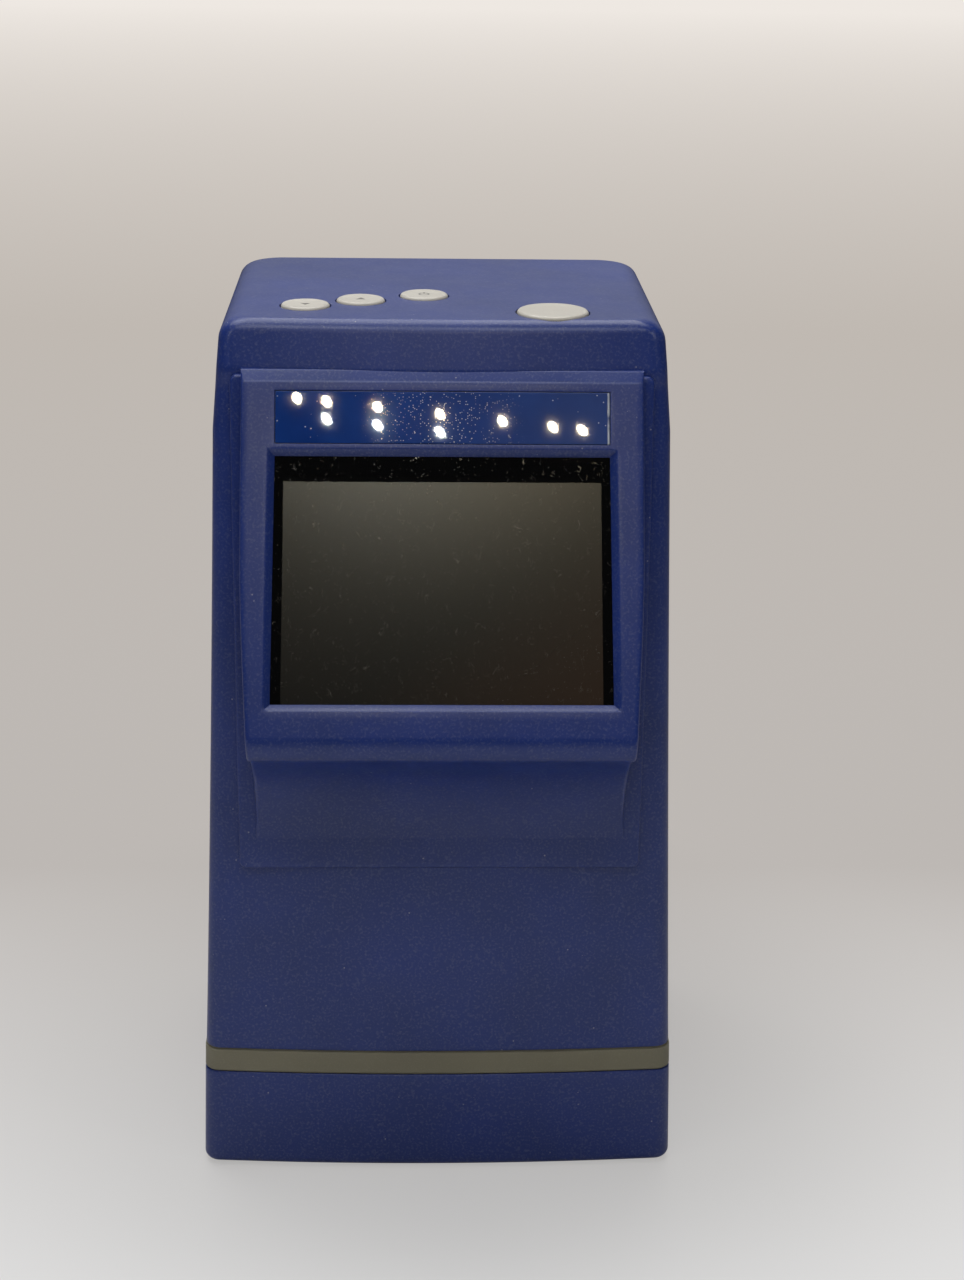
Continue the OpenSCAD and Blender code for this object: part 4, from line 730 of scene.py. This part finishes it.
def makeBorder():
    hole = roundQuad(border["hole"], border["hole"], *border["holeUp"], border["holeCorner"], 60)
    e = hood["panelEdge"]
    rim = [(0, border["back"]), (0, border["inside"]), (0, e)] + roundEdge(e, 5)[1:]
    rings = [(panelOutline(-inset), back) for inset, back in rim]
    flat = panelOutline(-e)
    rings += [(flat * (1 - f) + hole * f, 0) for f in np.linspace(0, 1, 8)[1:]] + [(hole, border["inside"])]
    loops = [np.insert(ring, 1, frontY(ring[:, 1]) - hood["panelProud"] + back, axis=1) for ring, back in rings]
    return tubeOf(np.stack(loops + loops[:1]))


insert = makeObject("screenInsert", *joinParts([makeHood(), makeBorder()]), math.radians(40))
insert.data.materials.append(insertBlue)
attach(insert, "scanner")
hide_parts("screen_bezel")
print("insert made")


# rings of the same outline, each given as height and how far it is drawn in
def ringStack(pairs):
    return np.concatenate([baseLoops(np.array([z]), inset) for z, inset in pairs])


# a round edge that ends at height z where up is 1, and starts there where up is -1
def soften(z, radius, up):
    rows = [(z - up * down, inset) for inset, down in roundEdge(radius, 4)]
    return rows if up > 0 else rows[::-1]


bandEdge = 0.15


def makeBand():
    low, high, g, grooveIn = body["baseTop"], body["bandTop"], body["groove"], body["grooveIn"]
    outer = [(low, grooveIn), (low + g, grooveIn)] + soften(low + g, bandEdge, -1)
    outer += soften(high - g, bandEdge, 1) + [(high - g, grooveIn), (high, grooveIn)]
    inner = [(high, body["wall"]), (low, body["wall"])]
    band = makeObject("trimRing", *tubeOf(ringStack(outer + inner + outer[:1])))
    band.data.materials.append(bandGrey)
    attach(band, "scanner")
    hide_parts("trim_band")


base = {"wall": 2.4, "floor": 2.0, "topEdge": 0.3, "below": -2.0, "footAt": (28, 25), "footR": 5.15,
        "footDepth": 0.8, "screwHead": 2.0, "wellR": 2.3, "wellTop": 14.9}


# the base with the seats of its feet and the wells of the case screws
def makeBase():
    r, low, high, edge = body["baseEdge"], body["bottom"], body["baseTop"], base["topEdge"]
    outer = [(low + up, inset) for up, inset in roundEdge(r, 8)]
    outer += [(z, 0.0) for z in np.linspace(low + r, high - edge, 10)[1:-1]] + soften(high, edge, 1)
    inner = [(high, base["wall"]), (low + base["floor"], base["wall"])]
    piece = makeObject("baseMoulding", *tubeOf(ringStack(outer + inner), True, True))
    footX, footY = base["footAt"]
    seats = [(x, slot["y"] + y) for x in (-footX, footX) for y in (-footY, footY)]
    first, last = (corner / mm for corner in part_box("case_screws"))
    screwX, head = last.x - base["screwHead"], base["screwHead"]
    wells = [(x, y) for x in (-screwX, screwX) for y in (first.y + head, last.y - head)]
    holes = [(at, base["footR"], low + base["footDepth"]) for at in seats]
    holes += [(at, base["wellR"], base["wellTop"]) for at in wells]
    cutAway(piece, [makeObject("cutter", *blockAlong(2, circle(*at, r, 48), (base["below"], top)))
                    for at, r, top in holes])
    piece.data.materials.append(bodyBlue)
    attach(piece, "scanner")
    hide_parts("base_shell")


makeBand()
makeBase()
print("band and base made")


# points given as across, down the slope and into the object, placed in the part's frame
def onFace(points):
    x, t, d = (points[..., k] for k in range(3))
    y, z = facePoint(t, d)
    return np.stack([x, y, z], -1)


# plate in the frame of the face or of the back: its sides, a round rim and a flat front
def facePlate(plate, place):
    (t0, t1), (front, back), edge = plate["t"], plate["deep"], plate["edge"]
    rim = [(inset, front + deep) for inset, deep in roundEdge(edge, 4)[1:]]
    loops = []
    for inset, deep in [(0, back), (0, front + edge)] + rim + [(edge + 0.1, front), (edge + 0.6, front)]:
        half = plate["half"] - inset
        ring = roundQuad(half, half, inset - t1, -t0 - inset, max(plate["corner"] - inset, 0.02))
        loops.append(place(np.insert(ring * np.array([1, -1]), 2, deep, axis=1)))
    return tubeOf(np.stack(loops), True, True)


glossStrip = makeObject("glossStrip", *facePlate(strip, onFace))
glossStrip.data.materials.append(polishedAcrylic)
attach(glossStrip, "scanner")
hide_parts("gloss_strip")

paneSize = {"t": (11.2, 56.4), "half": 30.4, "deep": (1.2, 2.4), "corner": 0.4, "edge": 0.1}
pane = makeObject("windowPane", *facePlate(paneSize, onFace))
pane.data.materials.append(printedPane)
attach(pane, "scanner")
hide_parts("screen_window")
print("strip and pane made")

# how far the rear cover's cutters go: for the screw heads and shanks, and for the sockets
coverCuts = {"head": (-3.0, cover["headDepth"]), "shank": (-3.0, 5.0), "socket": (50.0, 36.0)}


# rear cover: a flush plate with sunk screws and the three openings of the sockets
def makeRearCover():
    (low, high), gap = cover["up"], cover["gap"]
    plate = makeObject("rearCover", *facePlate({
        "t": (gap - high, -low - gap), "half": cover["half"] - gap, "deep": (0, body["wall"]),
        "corner": cover["corner"] - gap, "edge": cover["edge"]}, onBack))
    blocks = []
    for x in (cover["screw"] - cover["half"], cover["half"] - cover["screw"]):
        for up in (low + cover["screw"], high - cover["screw"]):
            blocks += [blockInBack(circle(x, up, cover[part], 48), coverCuts[part]) for part in ("head", "shank")]
    for name in ("sd_socket", "usb_socket", "av_jack"):
        (x0, _, z0), (x1, _, z1) = (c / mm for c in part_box(name))
        g = cover["socketGap"]
        ring = np.array([(x0 - g, z0 - g), (x1 + g, z0 - g), (x1 + g, z1 + g), (x0 - g, z1 + g)])
        if name == "av_jack":
            ring = circle((x0 + x1) / 2, (z0 + z1) / 2, cover["jackR"], 64)
        blocks.append(blockAlong(1, ring, coverCuts["socket"]))
    cutAway(plate, [makeObject("cutter", *block) for block in blocks])
    plate.data.materials.append(bodyBlue)
    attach(plate, "scanner")
    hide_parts("rear_cover")


makeRearCover()
print("rear cover made")

cap = {"proud": 0.45, "rim": 0.6, "dish": 0.12, "dishAt": (0.25, 0.5, 0.7, 0.8), "flange": 0.6,
       "flangeZ": (155.05, 156.0), "slope": 0.05, "stemR": 2.0, "stemZ": 153.85}


# round cap turned about its own axis: a low dish in the top, a round rim, a flange and a stem
def makeKey(name, key):
    r, top, rim, dish, slope = key["r"], body["topZ"] + cap["proud"], cap["rim"], cap["dish"], cap["slope"]
    wide, (low, high), stem, end = r + cap["flange"], cap["flangeZ"], cap["stemR"], cap["stemZ"]
    profile = [(tip, top - dish)] + [(r * f, top - dish * (1 - f ** 4)) for f in cap["dishAt"]]
    profile += [(r - rim + rim * math.sin(q), top - rim + rim * math.cos(q)) for q in quarterTurn(6)]
    profile += [(r, high + slope), (wide, high), (wide, low), (stem, low - slope), (stem, end), (tip, end)]
    loops = np.stack([np.insert(circle(*key["at"], across, 72), 2, z, axis=1) for across, z in profile])
    piece = makeObject(name, *tubeOf(loops, True, True, flip=True))
    material = printedKey(f"moulded_abs_cream_{name}", key["at"], key["turn"]) if "turn" in key else keyCream
    piece.data.materials.append(material)
    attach(piece, key["body"])
    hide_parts(name.replace("Cap", "_button"))


for name, key in keys.items():
    makeKey(name.replace("_button", "Cap"), key)
print("keys made")

view = {"lens": 63.87, "place": (-5.446, -395.99, 239.29), "pitch": 20.086, "yaw": 1.937, "roll": 0.815}


def makeCamera():
    pitch, yaw, roll = (math.radians(view[k]) for k in ("pitch", "yaw", "roll"))
    ahead = np.array([math.sin(yaw) * math.cos(pitch), math.cos(yaw) * math.cos(pitch), -math.sin(pitch)])
    right = np.array([math.cos(yaw), -math.sin(yaw), 0])
    up = np.cross(right, ahead)
    right, up = right * math.cos(roll) + up * math.sin(roll), up * math.cos(roll) - right * math.sin(roll)
    turn = Matrix(np.column_stack([right, up, -ahead]).tolist()).to_4x4()
    camera = bpy.data.objects.new("camera", bpy.data.cameras.new("camera"))
    camera.data.sensor_fit = "VERTICAL"
    camera.data.sensor_height = 36
    camera.data.lens = view["lens"]
    camera.data.clip_start = 0.02
    camera.matrix_world = Matrix.Translation([v * mm for v in view["place"]]) @ turn
    bpy.context.scene.collection.objects.link(camera)
    bpy.context.scene.camera = camera


makeCamera()

# pale floor: near the object it is a plain board that keeps the shadow, further off the camera
# sees the even pale tones of the sweep behind
floorTones = {
    "span": (-100.0, 2900.0), "rings": (tip, 200, 800, 4000),
    "stops": [(-100, "#e8e8e8"), (100, "#bdb8b4"), (700, "#c0b9b2"), (2600, "#eee8e2")],
    "fade": (50.0, 135.0), "even": 0.6,
}


def makeFloor():
    loops = np.stack([np.insert(circle(0, 0, r, 64), 2, 0, axis=1) for r in floorTones["rings"]])
    floor = makeObject("floor", *tubeOf(loops, flip=True))
    material, tree, shader, place = newMaterial("painted_board_floor", {"Roughness": 0.6, "IOR": 1.45})
    axes = addNode(tree, "SeparateXYZ", {"Vector": place}, None)
    low, high = (v * mm for v in floorTones["span"])
    away = addNode(tree, "MapRange", {"From Min": low, "From Max": high, "Value": axes["Y"]})
    stops = [((at * mm - low) / (high - low), tone) for at, tone in floorTones["stops"]]
    tone = addNode(tree, "ValToRGB", {"stops": stops, "Fac": away})
    setNode(tree, shader, {"Base Color": tone})
    flat = addNode(tree, "CombineXYZ", {"X": axes["X"], "Y": axes["Y"]})
    radius = addNode(tree, "VectorMath", {"operation": "LENGTH", 0: flat}, "Value")
    near, far = (v * mm for v in floorTones["fade"])
    even = addNode(tree, "MapRange", {"interpolation_type": "SMOOTHSTEP", "From Min": near, "From Max": far,
                                      "To Min": floorTones["even"], "Value": radius})
    seen = addNode(tree, "LightPath", out="Is Camera Ray")
    both = addNode(tree, "Math", {"operation": "MULTIPLY", 0: even, 1: seen})
    glow = addNode(tree, "Emission", {"Strength": 1.0, "Color": tone})
    mix = addNode(tree, "MixShader", {"Fac": both, 1: shader.outputs["BSDF"], 2: glow})
    setNode(tree, tree.nodes["Material Output"], {"Surface": mix})
    floor.data.materials.append(material)


makeFloor()


def addLamp(name, place, size, power, target=(0, 0, 90), colour=(1, 1, 1), shape="RECTANGLE"):
    lamp = bpy.data.lights.new(name, "AREA")
    lamp.shape = shape
    lamp.size, lamp.size_y = (s * mm for s in size)
    lamp.energy = power
    lamp.color = colour
    holder = bpy.data.objects.new(name, lamp)
    back = np.array(place, float) - np.array(target, float)
    back /= np.linalg.norm(back)
    side = np.cross([0, 0, 1], back)
    side /= np.linalg.norm(side)
    turn = Matrix(np.column_stack([side, np.cross(back, side), back]).tolist()).to_4x4()
    holder.matrix_world = Matrix.Translation([v * mm for v in place]) @ turn
    bpy.context.scene.collection.objects.link(holder)
    return holder


studio = {"overhead": 3.8, "frontHigh": 0.47, "sides": 0.35, "world": 0.05, "beadRadiance": 700.0}
addLamp("overhead", (-70, 200, 740), (640, 560), studio["overhead"], (0, 0, 0))
addLamp("frontHigh", (-36, -256, 516), (312, 120), studio["frontHigh"])
for side in (-1, 1):
    addLamp("side", (560 * side, -420, 590), (110, 110), studio["sides"])

# bead lamps in front, given by the place on the strip (across, down) where the camera sees them:
# seven warm ones on a slanting arc seen from its side, place k = middle + reach sin(k step),
# and three cool ones hung lower under the left of it
beads = {"middle": (-0.5, 5.4), "reach": (24.8, 2.7), "step": 25, "drop": 3.0, "warm": range(-3, 4),
         "cool": range(-2, 1), "away": 700.0, "size": (3.0, 5.0), "slant": 35}


def addBead(tone, colour, k):
    along = math.sin(math.radians(k * beads["step"]))
    x, t = (m + r * along for m, r in zip(beads["middle"], beads["reach"]))
    t += beads["drop"] if tone == "cool" else 0
    spot = onFace(np.array([x, t, strip["deep"][0]]))
    faceNormal = np.array([0, -math.cos(hood["tilt"]), math.sin(hood["tilt"])])
    ray = spot - np.array(view["place"])
    ray /= np.linalg.norm(ray)
    ray -= 2 * (ray @ faceNormal) * faceNormal
    area = math.pi * beads["size"][0] * beads["size"][1] / 4 * mm ** 2
    power = studio["beadRadiance"] * math.pi * area
    place = spot + ray * beads["away"]
    lamp = addLamp(f"{tone}Bead{k + 3}", place, beads["size"], power, spot, colour, "ELLIPSE")
    lamp.matrix_world = lamp.matrix_world @ Matrix.Rotation(math.radians(beads["slant"]), 4, "Z")


for tone, colour in (("warm", (1.0, 0.84, 0.55)), ("cool", (0.92, 1.0, 0.93))):
    for k in beads[tone]:
        addBead(tone, colour, k)

# greys of the room that reflections see, from below to above
room = {
    "front": [(0.0, 0.05), (0.1, 0.05), (0.3, 0.03), (0.5, 0.03), (0.9, 0.04)],
    "behind": [(0.0, 0.25), (0.15, 0.28), (0.4, 0.62), (0.6, 0.3), (0.9, 0.05)],
}


# around the object: pale to the camera, and to reflections a pale room behind, a dim one in front
# and a dark ceiling
def makeWorld():
    world = bpy.data.worlds.new("studio")
    bpy.context.scene.world = world
    world.use_nodes = True
    tree = world.node_tree
    ground = tree.nodes["Background"]
    towards = addNode(tree, "SeparateXYZ", {"Vector": addNode(tree, "TexCoord", out="Generated")}, None)
    front = addNode(tree, "ValToRGB", {"stops": room["front"], "Fac": towards["Z"]})
    behind = addNode(tree, "ValToRGB", {"stops": room["behind"], "Fac": towards["Z"]})
    turn = addNode(tree, "MapRange", {"From Min": 0.5, "From Max": 0.9, "Value": towards["Y"]})
    around = addNode(tree, "Mix", {"data_type": "RGBA", mixBy: turn, mixFrom: front, mixTo: behind}, mixOut)
    setNode(tree, ground, {"Color": around})
    plain = addNode(tree, "Background", {"Color": "#c8c4c0", "Strength": studio["world"]})
    pale = addNode(tree, "Background", {"Color": "#d8d3ce", "Strength": 1.0})
    path = addNode(tree, "LightPath", out=None)
    lit = addNode(tree, "MixShader", {"Fac": path["Is Glossy Ray"], 1: plain, 2: ground.outputs["Background"]})
    seen = addNode(tree, "MixShader", {"Fac": path["Is Camera Ray"], 1: lit, 2: pale})
    setNode(tree, tree.nodes["World Output"], {"Surface": seen})


makeWorld()
bpy.context.scene.view_settings.view_transform = "Standard"
print("stage made")

finishes = {
    bodyBlue: ["base_shell", "tower_shell", "rear_cover"],
    insertBlue: ["screen_bezel"],
    bandGrey: ["trim_band"],
    polishedAcrylic: ["gloss_strip"],
    printedPane: ["screen_window"],
    displayFilm: ["lcd_panel"],
    zincSteel: ["lcd_frame", "sd_socket", "usb_socket", "track_spring"] + [kind + "_screws" for kind in (
        "case", "rear", "bezel", "gate", "tunnel", "board", "key", "led", "lcd", "sensor")],
    amberFilm: ["lcd_flex"],
    keyCream: ["left_button", "right_button", "power_button", "ok_button"],
    blackNylon: ["left_plunger", "right_plunger", "power_plunger", "ok_plunger"],
    switchGrey: ["switch_bodies"],
    greenBoard: ["key_board", "main_board", "sensor_board"],
    wireSleeve: ["key_cable", "led_cable", "sensor_cable"],
    chipBlack: ["main_chips", "image_sensor"],
    innerBlack: ["av_jack", "lens_holder", "light_tunnel", "film_gate", "film_track"],
    anodisedBlack: ["lens_barrel"],
    coatedGlass: ["lens_elements"],
    opalWhite: ["diffuser", "light_box"],
    whiteBoard: ["led_board"],
    phosphor: ["leds"],
    footRubber: ["rubber_feet"],
}
for finish, names in finishes.items():
    for name in names:
        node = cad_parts[name]
        node.data.materials.clear()
        node.data.materials.append(finish)
print("finishes given")
